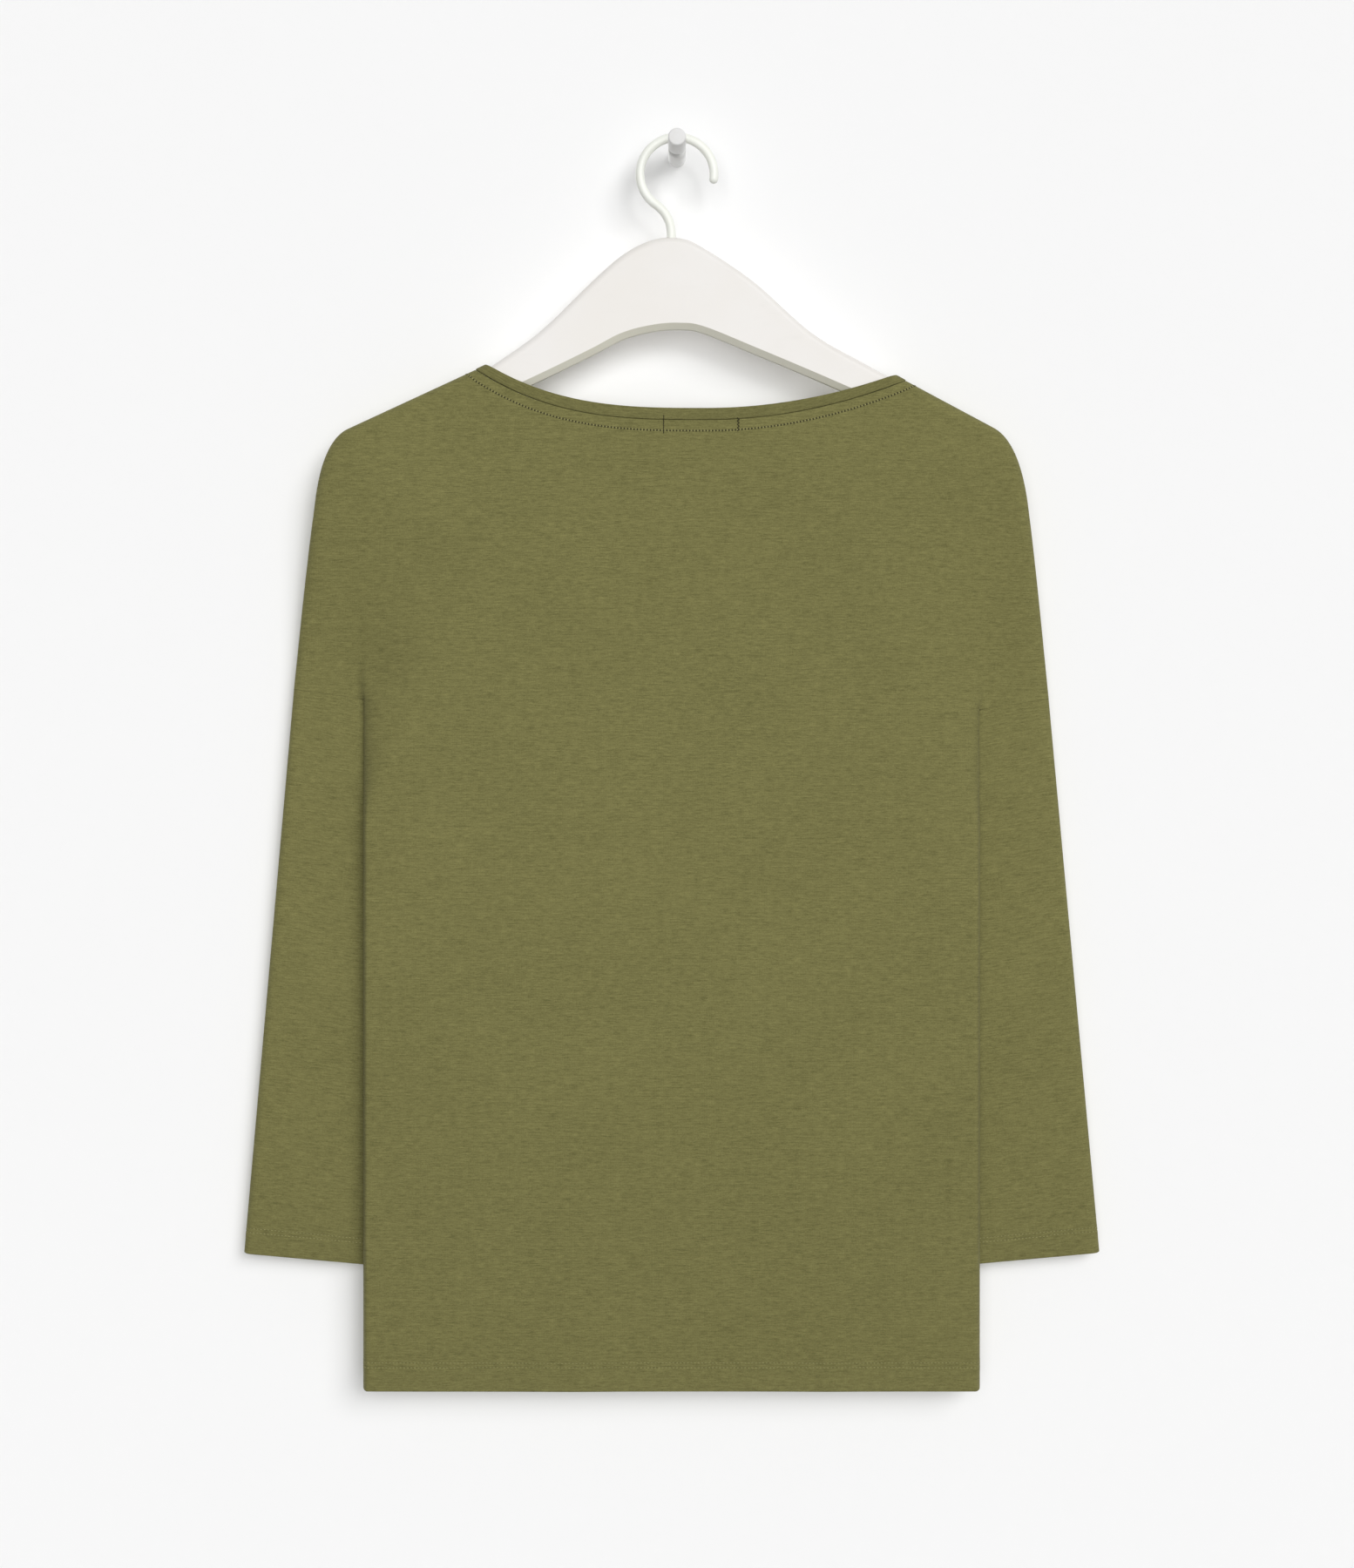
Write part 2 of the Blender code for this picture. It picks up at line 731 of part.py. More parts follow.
def hook_route():
    """The wire's centre line, from its tip over the peg and down into the hanger."""
    centre_z = WIRE_RADIUS - HOOK_RADIUS
    points = []
    for i in range(HOOK_STEPS + 1):
        angle = math.radians(between(HOOK_TIP_ANGLE, HOOK_NECK_ANGLE, i / HOOK_STEPS))
        points.append((HOOK_RADIUS * math.cos(angle), centre_z + HOOK_RADIUS * math.sin(angle)))
    start = points[-1]
    leave = math.radians(HOOK_NECK_ANGLE)
    first = (
        start[0] - STEM_BEND * math.sin(leave),
        start[1] + STEM_BEND * math.cos(leave),
    )
    end = (STEM_X, STEM_TOP_Z)
    second = (STEM_X, STEM_TOP_Z + STEM_BEND)
    for i in range(1, STEM_STEPS + 1):
        t = i / STEM_STEPS
        r = 1.0 - t
        points.append(
            tuple(
                r**3 * a + 3 * r * r * t * b + 3 * r * t * t * c + t**3 * d
                for a, b, c, d in zip(start, first, second, end)
            )
        )
    points.append((STEM_X, STEM_FOOT_Z))
    return points


def hanger_hook(material, collection):
    curve = bpy.data.curves.new("hanger_hook", "CURVE")
    curve.dimensions = "3D"
    curve.bevel_depth = WIRE_RADIUS
    curve.bevel_resolution = 2
    curve.use_fill_caps = True
    spline = curve.splines.new("POLY")
    route = hook_route()
    tip = Vector(route[0])
    back = (tip - Vector(route[1])).normalized()
    whole = [(tuple(tip + back * nose.reach), nose.size) for nose in HOOK_NOSE]
    whole += [(point, 1.0) for point in route]
    spline.points.add(len(whole) - 1)
    for point, ((x, z), size) in zip(spline.points, whole):
        point.co = (x, 0.0, z, 1.0)
        point.radius = size
    item = bpy.data.objects.new("hanger_hook", curve)
    collection.objects.link(item)
    curve.materials.append(material)
    return item


def wall_peg(material, collection):
    """A turned peg: its foot on the wall, a groove for the hook and a long round head."""
    ledge = PEG_ROUNDING
    profile = (
        (0.0, PEG_WALL_Y),
        (PEG_RADIUS, PEG_WALL_Y),
        (PEG_RADIUS, GROOVE_HALF + ledge),
        (PEG_RADIUS - ledge, GROOVE_HALF),
        (PEG_NECK_RADIUS, GROOVE_HALF),
        (PEG_NECK_RADIUS, -GROOVE_HALF),
        (PEG_RADIUS - ledge, -GROOVE_HALF),
        (PEG_RADIUS, -GROOVE_HALF - ledge),
        (PEG_RADIUS, PEG_TIP_Y + ledge),
        (PEG_RADIUS - PEG_ROUND_MIDDLE * ledge, PEG_TIP_Y + PEG_ROUND_MIDDLE * ledge),
        (PEG_RADIUS - ledge, PEG_TIP_Y),
        (0.0, PEG_TIP_Y),
    )
    mesh = bpy.data.meshes.new("wall_peg")
    edges = [(i, i + 1) for i in range(len(profile) - 1)]
    mesh.from_pydata([(r, 0.0, y) for r, y in profile], edges, [])
    item = add_object("wall_peg", mesh, material, collection)
    item.location = (0.0, 0.0, -SEAM_GAP - PEG_NECK_RADIUS)
    item.rotation_euler = (-math.pi / 2.0, 0.0, 0.0)
    turn = item.modifiers.new("turn", "SCREW")
    turn.steps = PEG_STEPS
    turn.render_steps = PEG_STEPS
    turn.use_merge_vertices = True
    turn.merge_threshold = 0.00001
    return item


def build():
    clear_scene()
    garment = make_collection("jersey_top_on_hanger")
    cutters = make_collection("cutters")
    cloth = make_material("olive_jersey", OLIVE, 0.85)
    band = make_material("olive_band", OLIVE_BAND, 0.85)
    shell = make_material("hanger_white", HANGER_WHITE, 0.45)
    wire = make_material("hook_white", WIRE_WHITE, 0.4)
    turned = make_material("peg_white", PEG_WHITE, 0.5)
    cloth_object("back_panel", back_surface(), WALL, cloth, garment)
    cloth_object("front_panel", front_surface(), WALL, cloth, garment)
    for side in SIDES:
        cloth_object(f"sleeve_{side.name}", sleeve_surface(side), WALL, cloth, garment)
    cloth_object("neckband", band_surface(), BAND_WALL, band, garment)
    hanger_body(shell, garment, cutters)
    hanger_hook(wire, garment)
    wall_peg(turned, garment)


build()
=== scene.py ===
"""The looks of a fine jersey top on a moulded hanger, hung by its hook from a wall peg.

Metres, +Z up. The origin is the top of the hook's inner curve. The wall is at +Y, and the garment's
back faces -Y, where the camera is.
"""

import math
from collections import namedtuple

import bmesh
import bpy
import numpy as np
from bpy.props import FloatProperty, FloatVectorProperty, PointerProperty
from mathutils import Matrix, Vector, noise
from mathutils.bvhtree import BVHTree


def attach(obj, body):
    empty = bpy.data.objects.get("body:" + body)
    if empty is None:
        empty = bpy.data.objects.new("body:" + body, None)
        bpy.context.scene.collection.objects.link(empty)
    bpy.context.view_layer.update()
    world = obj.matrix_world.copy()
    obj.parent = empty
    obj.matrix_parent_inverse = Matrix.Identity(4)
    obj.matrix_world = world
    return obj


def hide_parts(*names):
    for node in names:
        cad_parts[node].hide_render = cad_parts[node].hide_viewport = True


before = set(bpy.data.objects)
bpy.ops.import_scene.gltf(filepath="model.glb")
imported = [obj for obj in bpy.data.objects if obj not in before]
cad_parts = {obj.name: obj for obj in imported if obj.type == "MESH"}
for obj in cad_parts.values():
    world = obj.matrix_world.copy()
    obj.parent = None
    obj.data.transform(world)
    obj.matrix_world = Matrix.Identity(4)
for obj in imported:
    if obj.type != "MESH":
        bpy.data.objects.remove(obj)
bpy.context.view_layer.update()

bl_info = {
    "name": "Jersey top on a hanger",
    "version": (1, 0, 0),
    "blender": (4, 5, 0),
    "location": "3D View > Sidebar > Jersey top",
    "description": "Builds a jersey top, its hanger, the wall peg and a plain stage, piece by piece",
    "category": "Add Mesh",
}

# The cloth's middle surfaces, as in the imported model
SEAM_GAP = 0.0002
SLEEVE_SEAM_GAP = 0.00006
EDGE_GAP = 0.0002
BACK_Y = -0.007
FRONT_Y = 0.007
HEM_Z = -0.8051
BODY_MIDDLE_X = -0.0035
ROW_MIDDLE_Z = -0.382
MERGE_DISTANCE = 1e-6

# The neck
NECK_LOW_X = 0.0185
BACK_NECK_Z = -0.1734
FRONT_NECK_Z = -0.2014
BAND_WIDTH = 0.0073
BAND_FOOT_GAP = 0.0006

# How the upper arm falls back towards the wall below the hanger's tips
FALL_TOP_Z = -0.200
FALL_HEIGHT = 0.154
ARM_Y = 0.0148
SHOULDER_HALF = 0.007
ARM_HALF = 0.0050
ROUNDING = 0.0075

# The back panel's turn into the upper arm
TURN = 0.004
TURN_AT_ROW = 0.036
TURN_SETTLES = 0.080
TURN_END_Y = 0.0072
TURN_HEIGHT = 0.100
ROLL_HEIGHT = 0.045
CRISP_HEIGHT = 0.018
SLOPE_IN = 0.080
SLOPE_OUT = 0.036
LIFT_WIDTH = 0.007

# The fold of the front panel behind the body
FOLD_HEIGHT = 0.125
NOSE_IN_BODY = 0.0015
NOSE_RADIUS = 0.0014
HEEL_RADIUS = 0.00255
LEAST_HEEL = 0.0008

# The sleeves
SLEEVE_WIDTH = 0.168
CUFF_WIDTH = 0.1245
CUFF_SLOPE = 0.090
SLEEVE_ROUNDING = 0.005
SLEEVE_CLEAR_Y = 0.0099
SLEEVE_SETTLES = 0.12
INNER_EASE = 0.0006
INNER_EASE_POWER = 6
CUFF_Y = 0.0146
CUFF_HALF = 0.0048
SEAM_ALLOWANCE = 0.0025
SEAM_TUCK = 0.0009
SLEEVE_TOP_SHARES = (0.004, 0.01, 0.018)  # rows below the seam, where the sleeve takes on its own depth
SLEEVE_EVEN_START = 0.028
SLEEVE_EVEN_STEP = 0.0125

Side = namedtuple(
    "Side",
    "name sign neck shoulder pull arm armhole body_x row_slope cuff back_power front_power",
)
SIDES = (
    Side(
        name="left",
        sign=-1,
        neck=(-0.1232, -0.1447),
        shoulder=(-0.2121, -0.1858),
        pull=(-0.2286, -0.1933),
        arm=(-0.2338, -0.2345),
        armhole=(-0.2494, -0.3534),
        body_x=-0.2027,
        row_slope=0.139,
        cuff=(-0.2817, -0.7198),
        back_power=3.0,
        front_power=2.4,
    ),
    Side(
        name="right",
        sign=1,
        neck=(0.1412, -0.1515),
        shoulder=(0.2042, -0.1852),
        pull=(0.2205, -0.1939),
        arm=(0.2265, -0.2345),
        armhole=(0.2420, -0.3597),
        body_x=0.1957,
        row_slope=0.151,
        cuff=(0.2749, -0.7193),
        back_power=2.0,
        front_power=2.2,
    ),
)
SHOULDER_SHARE = 0.27
CURVE_SHARE = 0.64
ARM_BOW = 0.0015
OUTLINE_POINTS = 96

# How finely the cloth is divided
CLOTH_STEP = 0.0045
SLOPE_STEP = 0.0004  # the slope of a surface is taken between points this far to each side
UPPER_ROWS = 46
EDGE_ROW = 0.002  # the rows beside both edges lie this share from them, so that the edges shade crisply
EDGE_STEPS = (0.0075, 0.0055, 0.004, 0.0026, 0.0015, 0.0007, 0.0003, 0.0)
ROLL_ANGLES = (0, 10, 20, 30, 40, 50, 60, 70, 80, 90)
ARM_STEPS = (0.0008, 0.002, 0.004, 0.007)
NOSE_ANGLES = (-60, -30, 0, 30, 60, 90)
HEEL_ANGLES = (22, 45, 67, 90, 112, 135, 157, 180)
BODY_COUNT = 44
PLY_COUNT = 18
OUTER_COUNT = 18

# The two tacks that hold a label inside the back of the neck
Tack = namedtuple("Tack", "x top_z low_z swing")
LABEL_TACKS = (Tack(-0.0086, -0.1777, -0.1894, 0.00010), Tack(0.0394, -0.1794, -0.1880, 0.0007))
TACK_STEPS = 8
TACK_HIGH_STEPS = 3  # the first steps of a tack stand higher on the cloth
TACK_HIGH = 0.0005
TACK_LOW = 0.0001
TACK_WIDTH = 0.0008
TACK_HEIGHT = 0.0005
TACK_OVERLAP = 1.3

# The sewing: shares of the pitch and of the stitch's width
STITCH_LENGTH_SHARE = 0.66
STITCH_HEIGHT_SHARE = 0.6
# The next three shares size the dark lozenges of painted shade between the stitches, where the cloth dips
# at the needle holes
HOLE_LENGTH_SHARE = 0.5
HOLE_WIDTH_SHARE = 1.7
HOLE_HEIGHT_SHARE = 0.36
NECK_ROW_POINTS = 90
SEARCH_LIFT = 0.0008  # a stitch looks for the cloth from this far outside it

# The flat size, in metres and square metres, that each sheet was cut to
Cut = namedtuple("Cut", "name width length area rests_on with_pieces")
CUTS = (
    Cut(
        "back",
        0.512,
        0.678,
        0.283,
        "hanger",
        ("back_hem_stitches", "back_neck_stitches", "back_needle_holes", "label_tacks"),
    ),
    Cut(
        "front",
        0.74,
        0.678,
        0.289,
        "hanger",
        ("front_hem_stitches", "front_neck_stitches", "front_needle_holes"),
    ),
    Cut("left_sleeve", 0.345, 0.385, 0.114, "back", ("left_cuff_stitches",)),
    Cut("right_sleeve", 0.345, 0.385, 0.114, "back", ("right_cuff_stitches",)),
    Cut("neck_band", 0.560, 0.0155, None, "hanger", ()),
)

# The cloth's looks: how high its slub streaks are, and how much painted shade deepens its tone low down,
# standing for the light falling off towards the hem
STREAK_HEIGHT = 0.0008
BAND_STREAK_HEIGHT = 0.0007
PAINTED_SHADE_LOW = 0.92
PAINTED_SHADE_STARTS_Z = -0.50
PAINTED_SHADE_FULL_Z = -0.78

# The finishes of the hard pieces
Finish = namedtuple("Finish", "roughness uneven cloud_scale")
MOULDED = Finish(0.42, 0.12, 14.0)
COATED = Finish(0.34, 0.05, 60.0)
PAINTED = Finish(0.5, 0.35, 240.0)

# Slow waves that keep the hanging cloth from lying dead flat, and the largest soft creases
Wave = namedtuple("Wave", "across down share")
WAVES = (Wave(0.105, 0.170, 1.0), Wave(0.038, 0.075, 0.28))
BACK_SEED = 3.1
FRONT_SEED = 8.6
SLEEVE_SEED = 5.7
SLEEVE_SEED_STEP = 2.3
SLEEVE_WAVE_SHARE = 0.6
CREASE_REACH = 3.0  # a crease ends this many of its widths to each side
CREASE_NARROWING = 1.6
NECK_CALM = 0.05  # the waves start this share of the way down to the armhole row
NECK_CALM_RUN = 0.09
ROW_CALM_RUN = 0.12
SIDE_CALM_RUN = 0.15
MIDDLE_CALM_RUN = 0.2
EDGE_CALM = 0.03  # the waves die out over this distance from an edge of the body
BELOW_ROW_CALM = 0.04
SLEEVE_CALM = 0.02
SLEEVE_CALM_START = 0.04
SLEEVE_CALM_RUN = 0.12
Crease = namedtuple("Crease", "start_x start_z end_x end_z width depth")
BACK_CREASES = (
    Crease(-0.196, -0.212, -0.128, -0.268, 0.020, 0.0011),
    Crease(0.189, -0.212, 0.122, -0.268, 0.020, 0.0011),
    Crease(-0.190, -0.345, -0.120, -0.300, 0.022, 0.0007),
    Crease(0.184, -0.350, 0.116, -0.304, 0.022, 0.0007),
    Crease(-0.070, -0.800, -0.060, -0.620, 0.030, 0.0006),
    Crease(0.095, -0.800, 0.088, -0.640, 0.026, 0.0005),
)
FRONT_CREASES = (
    Crease(-0.190, -0.215, -0.110, -0.275, 0.020, -0.0010),
    Crease(0.184, -0.215, 0.106, -0.275, 0.020, -0.0010),
    Crease(-0.040, -0.800, -0.036, -0.610, 0.028, -0.0006),
    Crease(0.120, -0.800, 0.110, -0.650, 0.026, -0.0005),
)

# Hems turned up inside, with the cloth drawn in along both rows of stitches
HemRow = namedtuple("HemRow", "height turned relief")
HEM_TOP = 0.024
HEM_SWELL = 0.00010
HEM_DIP = -0.00022
ABOVE_STITCHES = (0.0030, 0.0014)
STITCHES_BEGIN = 0.0006
STITCH_SIDE = 0.0007  # the cloth swells this far above and below a row of stitches
STITCHES_END = 0.0016
HEM_SHARES = (0.55, 0.38, 0.2)
HEM_LOWEST = 0.0012
TURN_IN = 0.00100
TURN_RADIUS = 0.0005
TURN_SHORT = 0.0026  # the turned layer ends this far short of a side seam
TURN_ANGLES = (0, 36, 72, 108, 144, 180)
TURNED_SHARES = (0.1, 0.3, 0.5, 0.7, 0.9)
TURNED_PAST_STITCHES = 0.0012

# The neckband, folded along its top edge: shares of its width and of its half thickness
Fold = namedtuple("Fold", "width depth")
BAND_COUNT = 60
BAND_EVEN_END = 0.93
BAND_FINE_SHARES = (0.945, 0.958, 0.969, 0.978, 0.985, 0.991, 0.9955, 0.9985, 1.0)
BAND_HALF_SHARE = 0.62
BAND_FOOT = (Fold(0.955, 0.35), Fold(0.925, 0.75))
BAND_WIDTHS = (0.87, 0.72, 0.54, 0.36, 0.2)
BAND_FOLD_WIDTH = 0.12
BAND_FOLD_ANGLES = (25, 50, 75, 90)
BAND_INNER_FOOT = Fold(1.0, 0.9)

# The hanger
HANGER_HALF = 0.0052
HANGER_DROP = 0.0031
HANGER_TOP_BEVEL = 0.0040
HANGER_LOW_BEVEL = 0.0036
HANGER_TOP_SEGMENTS = 6
HANGER_FACE_INSET = 0.0007
HANGER_FACE_CORNERS = 100  # only the plate's two flat faces have more corners than this
SHARP_DEGREES = 28
LOW_EDGE_NORMAL_Z = -0.3
ARM_TIP_INSET = 0.0075
ARM_HEIGHT_AT_NECK = 0.020
ARM_HEIGHT_AT_TIP = 0.015
ARM_SHARES = (0.06, 0.5, 0.93)
ARM_TIP_ANGLES = (75, 60, 45, 30, 15, 0, -15, -30, -45, -60, -75)
ARM_STRETCH_STEPS = 10
HangerStation = namedtuple("HangerStation", "x top low")
HANGER_MIDDLE = (
    HangerStation(-0.1100, -0.1388, -0.1643),
    HangerStation(-0.0863, -0.1211, -0.1537),
    HangerStation(-0.0538, -0.0897, -0.1378),
    HangerStation(-0.0342, -0.0729, -0.1277),
    HangerStation(-0.0150, -0.0636, -0.1227),
    HangerStation(0.0020, -0.0628, -0.1215),
    HangerStation(0.0168, -0.0689, -0.1238),
    HangerStation(0.0498, -0.0911, -0.1372),
    HangerStation(0.0869, -0.1239, -0.1528),
    HangerStation(0.1216, -0.1441, -0.1678),
)

# The hook
WIRE_RADIUS = 0.0029
HOOK_RADIUS = 0.0239
HOOK_TIP_ANGLE = -8
HOOK_NECK_ANGLE = 235
HOOK_STEPS = 96
STEM_X = -0.0037
STEM_TOP_Z = -0.060
STEM_FOOT_Z = -0.0705
STEM_BEND = 0.008
STEM_STEPS = 24
WIRE_SIDES = 24
HOOK_NOSE_ANGLES = (86, 72, 58, 44, 30, 15)
HOOK_NOSE_SHARE = 0.95
SOCKET_RADIUS = 0.0032
SOCKET_DEPTH = 0.0303
SOCKET_SIDES = 32

# The peg
PEG_RADIUS = 0.0057
PEG_NECK_RADIUS = 0.0035
PEG_TIP_Y = -0.026
PEG_WALL_Y = 0.027
GROOVE_HALF = 0.0032
PEG_ROUNDING = 0.0012
PEG_ROUND_SHARE = 0.3
PEG_TIP_ANGLES = (0, 18, 36, 54, 72, 90)
PEG_STEPS = 64

# The photograph's view
CAMERA_PLACE = (0.0, -1.507, -0.4148)
CAMERA_LENS = 53.57
CAMERA_SENSOR = 36.0

# The room
FLOOR_Z = -1.70
WALL_MIDDLE_Z = 1.3
FLOOR_HALF = 6.0
SEEN_SKY = (0.90, 0.90, 0.90, 1.0)
BEHIND_ANGLE = 0.8
BEHIND_RIGHT_SHARE = 0.7


def between(a, b, share):
    return a + (b - a) * share


def limited(value):
    return min(max(value, 0.0), 1.0)


def eased(value):
    value = limited(value)
    return value * value * (3.0 - 2.0 * value)


def rounded(distance, radius):
    """How far a rounded edge has reached its full depth, from 0 at the edge to 1."""
    left = 1.0 - limited(distance / radius)
    return math.sqrt(1.0 - left * left)


def spread(start, end, count):
    """count evenly spaced values from start to end, both included."""
    return [between(start, end, i / (count - 1)) for i in range(count)]


def stepped(start, end, step):
    return spread(start, end, max(int(round(abs(end - start) / step)) + 1, 2))


def bent(start, pull, end, share):
    """A point of the quadratic curve from start to end that leans towards pull."""
    rest = 1.0 - share
    return tuple(
        rest * rest * a + 2.0 * rest * share * b + share * share * c
        for a, b, c in zip(start, pull, end)
    )


def down_shoulder(side, distance):
    """The point of the shoulder line at a distance from the neck."""
    along = Vector(side.shoulder) - Vector(side.neck)
    return tuple(Vector(side.neck) + along.normalized() * distance)


def panel_foot(side):
    """Where the panels' neck edge meets the shoulder line."""
    return down_shoulder(side, BAND_WIDTH + BAND_FOOT_GAP)


def outline(side, share):
    """The garment's outer edge, from the neckband's seam (0) down to the armhole seam (1)."""
    if share <= SHOULDER_SHARE:
        foot = panel_foot(side)
        part = share / SHOULDER_SHARE
        return tuple(between(a, b, part) for a, b in zip(foot, side.shoulder))
    if share <= CURVE_SHARE:
        part = (share - SHOULDER_SHARE) / (CURVE_SHARE - SHOULDER_SHARE)
        return bent(side.shoulder, side.pull, side.arm, part)
    part = (share - CURVE_SHARE) / (1.0 - CURVE_SHARE)
    middle = (
        between(side.arm[0], side.armhole[0], 0.5) + side.sign * ARM_BOW,
        between(side.arm[1], side.armhole[1], 0.5),
    )
    return bent(side.arm, middle, side.armhole, part)


OUTLINES = {
    side.name: np.array(
        [side.neck] + [outline(side, i / OUTLINE_POINTS) for i in range(OUTLINE_POINTS + 1)]
    )
    for side in SIDES
}


def from_outline(side, x, z):
    """The distance from a point of a panel to the garment's outer edge."""
    points = OUTLINES[side.name]
    start = points[:-1]
    run = points[1:] - start
    offset = np.array((x, z)) - start
    share = np.clip((offset * run).sum(axis=1) / (run * run).sum(axis=1), 0.0, 1.0)
    return float(np.sqrt(((offset - run * share[:, None]) ** 2).sum(axis=1)).min())


def fall(z):
    return eased((FALL_TOP_Z - z) / FALL_HEIGHT)


def ridge_y(z):
    """The depth of the garment's outer edge at a height."""
    return ARM_Y * fall(z)


def half_depth(z):
    return between(SHOULDER_HALF, ARM_HALF, fall(z))


def fold_in_x(side):
    return side.armhole[0] - side.sign * SLEEVE_WIDTH


def row_z(side, x):
    """The height of the armhole seam, which runs on across the body as the row below the shoulders."""
    inner_x = fold_in_x(side)
    inner_z = side.armhole[1] - side.row_slope * SLEEVE_WIDTH
    if side.sign * x >= side.sign * inner_x:
        return side.armhole[1] - side.row_slope * abs(side.armhole[0] - x)
    share = (x - BODY_MIDDLE_X) / (inner_x - BODY_MIDDLE_X)
    return between(ROW_MIDDLE_Z, inner_z, eased(share))


def neck_z(low_z, end_z, power, share):
    return low_z + (end_z - low_z) * share**power


def panel_point(side, low_z, power, across, down):
    """A point of the upper half panel in X and Z. across runs from the middle to the outer edge."""
    edge_x, edge_z = outline(side, down)
    middle_x = between(NECK_LOW_X, BODY_MIDDLE_X, down)
    x = between(middle_x, edge_x, across)
    seam_low = low_z - BAND_WIDTH - SEAM_GAP
    middle_z = between(seam_low, ROW_MIDDLE_Z, down)
    foot_z = panel_foot(side)[1]
    top = neck_z(seam_low, foot_z, power, across)
    top_bow = top - between(seam_low, foot_z, across)
    low = row_z(side, between(BODY_MIDDLE_X, side.armhole[0], across))
    low_bow = low - between(ROW_MIDDLE_Z, side.armhole[1], across)
    z = between(middle_z, edge_z, across) + (1.0 - down) * top_bow + down * low_bow
    return x, z


def wave(x, z, creases, seed, amount):
    """How far the cloth swells out of its plane at a point, from slow waves and a few soft creases."""
    lift = 0.0
    for slow in WAVES:
        lift += slow.share * noise.noise(Vector((x / slow.across, z / slow.down, seed)))
    lift *= amount
    for crease in creases:
        start = Vector((crease.start_x, crease.start_z))
        run = Vector((crease.end_x, crease.end_z)) - start
        share = (Vector((x, z)) - start).dot(run) / run.length_squared
        aside = (Vector((x, z)) - start - run * limited(share)).length / crease.width
        if aside < CREASE_REACH:
            lift += crease.depth * math.exp(-aside * aside * CREASE_NARROWING)
    return lift


# Sheets of cloth


def cloth_sheet(places, grain, zero_column=0):
    """A grid moved to places[column][row]. Its UV map is the flat cloth in metres: the distance across
    from zero_column, and the grain value given for each column and row."""
    columns, rows = len(places), len(places[0])
    across = [[0.0] * rows for _ in range(columns)]
    for row in range(rows):
        for column in range(1, columns):
            a, b = places[column - 1][row], places[column][row]
            across[column][row] = across[column - 1][row] + math.hypot(b.x - a.x, b.y - a.y)
        zero = across[zero_column][row]
        for column in range(columns):
            across[column][row] -= zero
    work = bmesh.new()
    flat = work.loops.layers.uv.new("flat_cloth")
    bmesh.ops.create_grid(work, x_segments=columns - 1, y_segments=rows - 1, size=1.0)
    spot = {}
    for vertex in work.verts:
        column = round((vertex.co.x + 1.0) / 2.0 * (columns - 1))
        row = round((1.0 - vertex.co.y) / 2.0 * (rows - 1))
        spot[vertex] = (column, row)
        vertex.co = places[column][row]
    for face in work.faces:
        for loop in face.loops:
            column, row = spot[loop.vert]
            loop[flat].uv = (across[column][row], grain(column, row))
    bmesh.ops.remove_doubles(work, verts=work.verts, dist=MERGE_DISTANCE)
    return work


def mesh_of(name, work):
    """The bmesh as a mesh, with the bmesh freed."""
    mesh = bpy.data.meshes.new(name)
    work.to_mesh(mesh)
    work.free()
    return mesh


def linked(name, data):
    """A new object of the scene."""
    item = bpy.data.objects.new(name, data)
    bpy.context.scene.collection.objects.link(item)
    return item


def joined(stretches):
    """The bmeshes of one sheet as a single one, with the points they share merged."""
    whole = bmesh.new()
    for stretch in stretches:
        mesh = mesh_of("stretch", stretch)
        whole.from_mesh(mesh)
        bpy.data.meshes.remove(mesh)
    bmesh.ops.remove_doubles(whole, verts=whole.verts, dist=MERGE_DISTANCE)
    return whole


def add_piece(name, work, material, slot, *nodes):
    """The bmesh as a smooth object of the model, standing for the CAD nodes named."""
    mesh = mesh_of(name, work)
    mesh.shade_smooth()
    mesh.materials.append(material)
    piece = linked(name, mesh)
    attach(piece, "root")
    if nodes:
        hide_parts(*nodes)
    return piece


def give_wall(piece, thickness):
    wall = piece.modifiers.new("wall", "SOLIDIFY")
    wall.thickness = thickness
    wall.offset = 0.0


def half_order(side, count):
    """Column numbers in the order that turns a sheet's faces out: the -X half runs inwards."""
    return list(range(count)) if side.sign > 0 else list(range(count))[::-1]


def hem_rows(depth, rows_apart):
    """The rows of a turned hem, going down, round the edge and up inside: height above the edge, distance
    turned in, and the relief that sinks the cloth along both rows of stitches."""
    low_row = depth - rows_apart
    rows = [HemRow(HEM_TOP, 0.0, 0.0)]
    rows += [HemRow(depth + above, 0.0, 0.0) for above in ABOVE_STITCHES]
    rows += [
        HemRow(depth + STITCHES_BEGIN, 0.0, HEM_SWELL),
        HemRow(depth, 0.0, HEM_DIP),
        HemRow(depth - STITCH_SIDE, 0.0, HEM_SWELL),
        HemRow(low_row + STITCH_SIDE, 0.0, HEM_SWELL),
        HemRow(low_row, 0.0, HEM_DIP),
        HemRow(low_row - STITCH_SIDE, 0.0, HEM_SWELL),
        HemRow(low_row - STITCHES_END, 0.0, HEM_SWELL),
    ]
    rows += [HemRow(depth * share, 0.0, 0.0) for share in HEM_SHARES]
    rows.append(HemRow(HEM_LOWEST, 0.0, 0.0))
    for angle in TURN_ANGLES:
        turn = math.radians(angle)
        height = TURN_RADIUS * (1.0 - math.sin(turn))
        rows.append(HemRow(height, TURN_IN / 2.0 * (1.0 - math.cos(turn)), 0.0))
    rows += [HemRow(depth * share, TURN_IN, 0.0) for share in TURNED_SHARES]
    rows.append(HemRow(depth + TURNED_PAST_STITCHES, TURN_IN, 0.0))
    return rows


def hem_grain(edge, row):
    """The flat cloth's length at a hem row: it runs on past the edge for the turned part."""
    return edge - row.height if row.turned > TURN_IN / 2.0 else edge + row.height


# Both panels


def upper_shares():
    """Shares of the way down from the neckline to the armhole row, one for each row of a panel."""
    inner = [row / UPPER_ROWS for row in range(1, UPPER_ROWS)]
    return [0.0, EDGE_ROW] + inner + [1.0 - EDGE_ROW, 1.0]


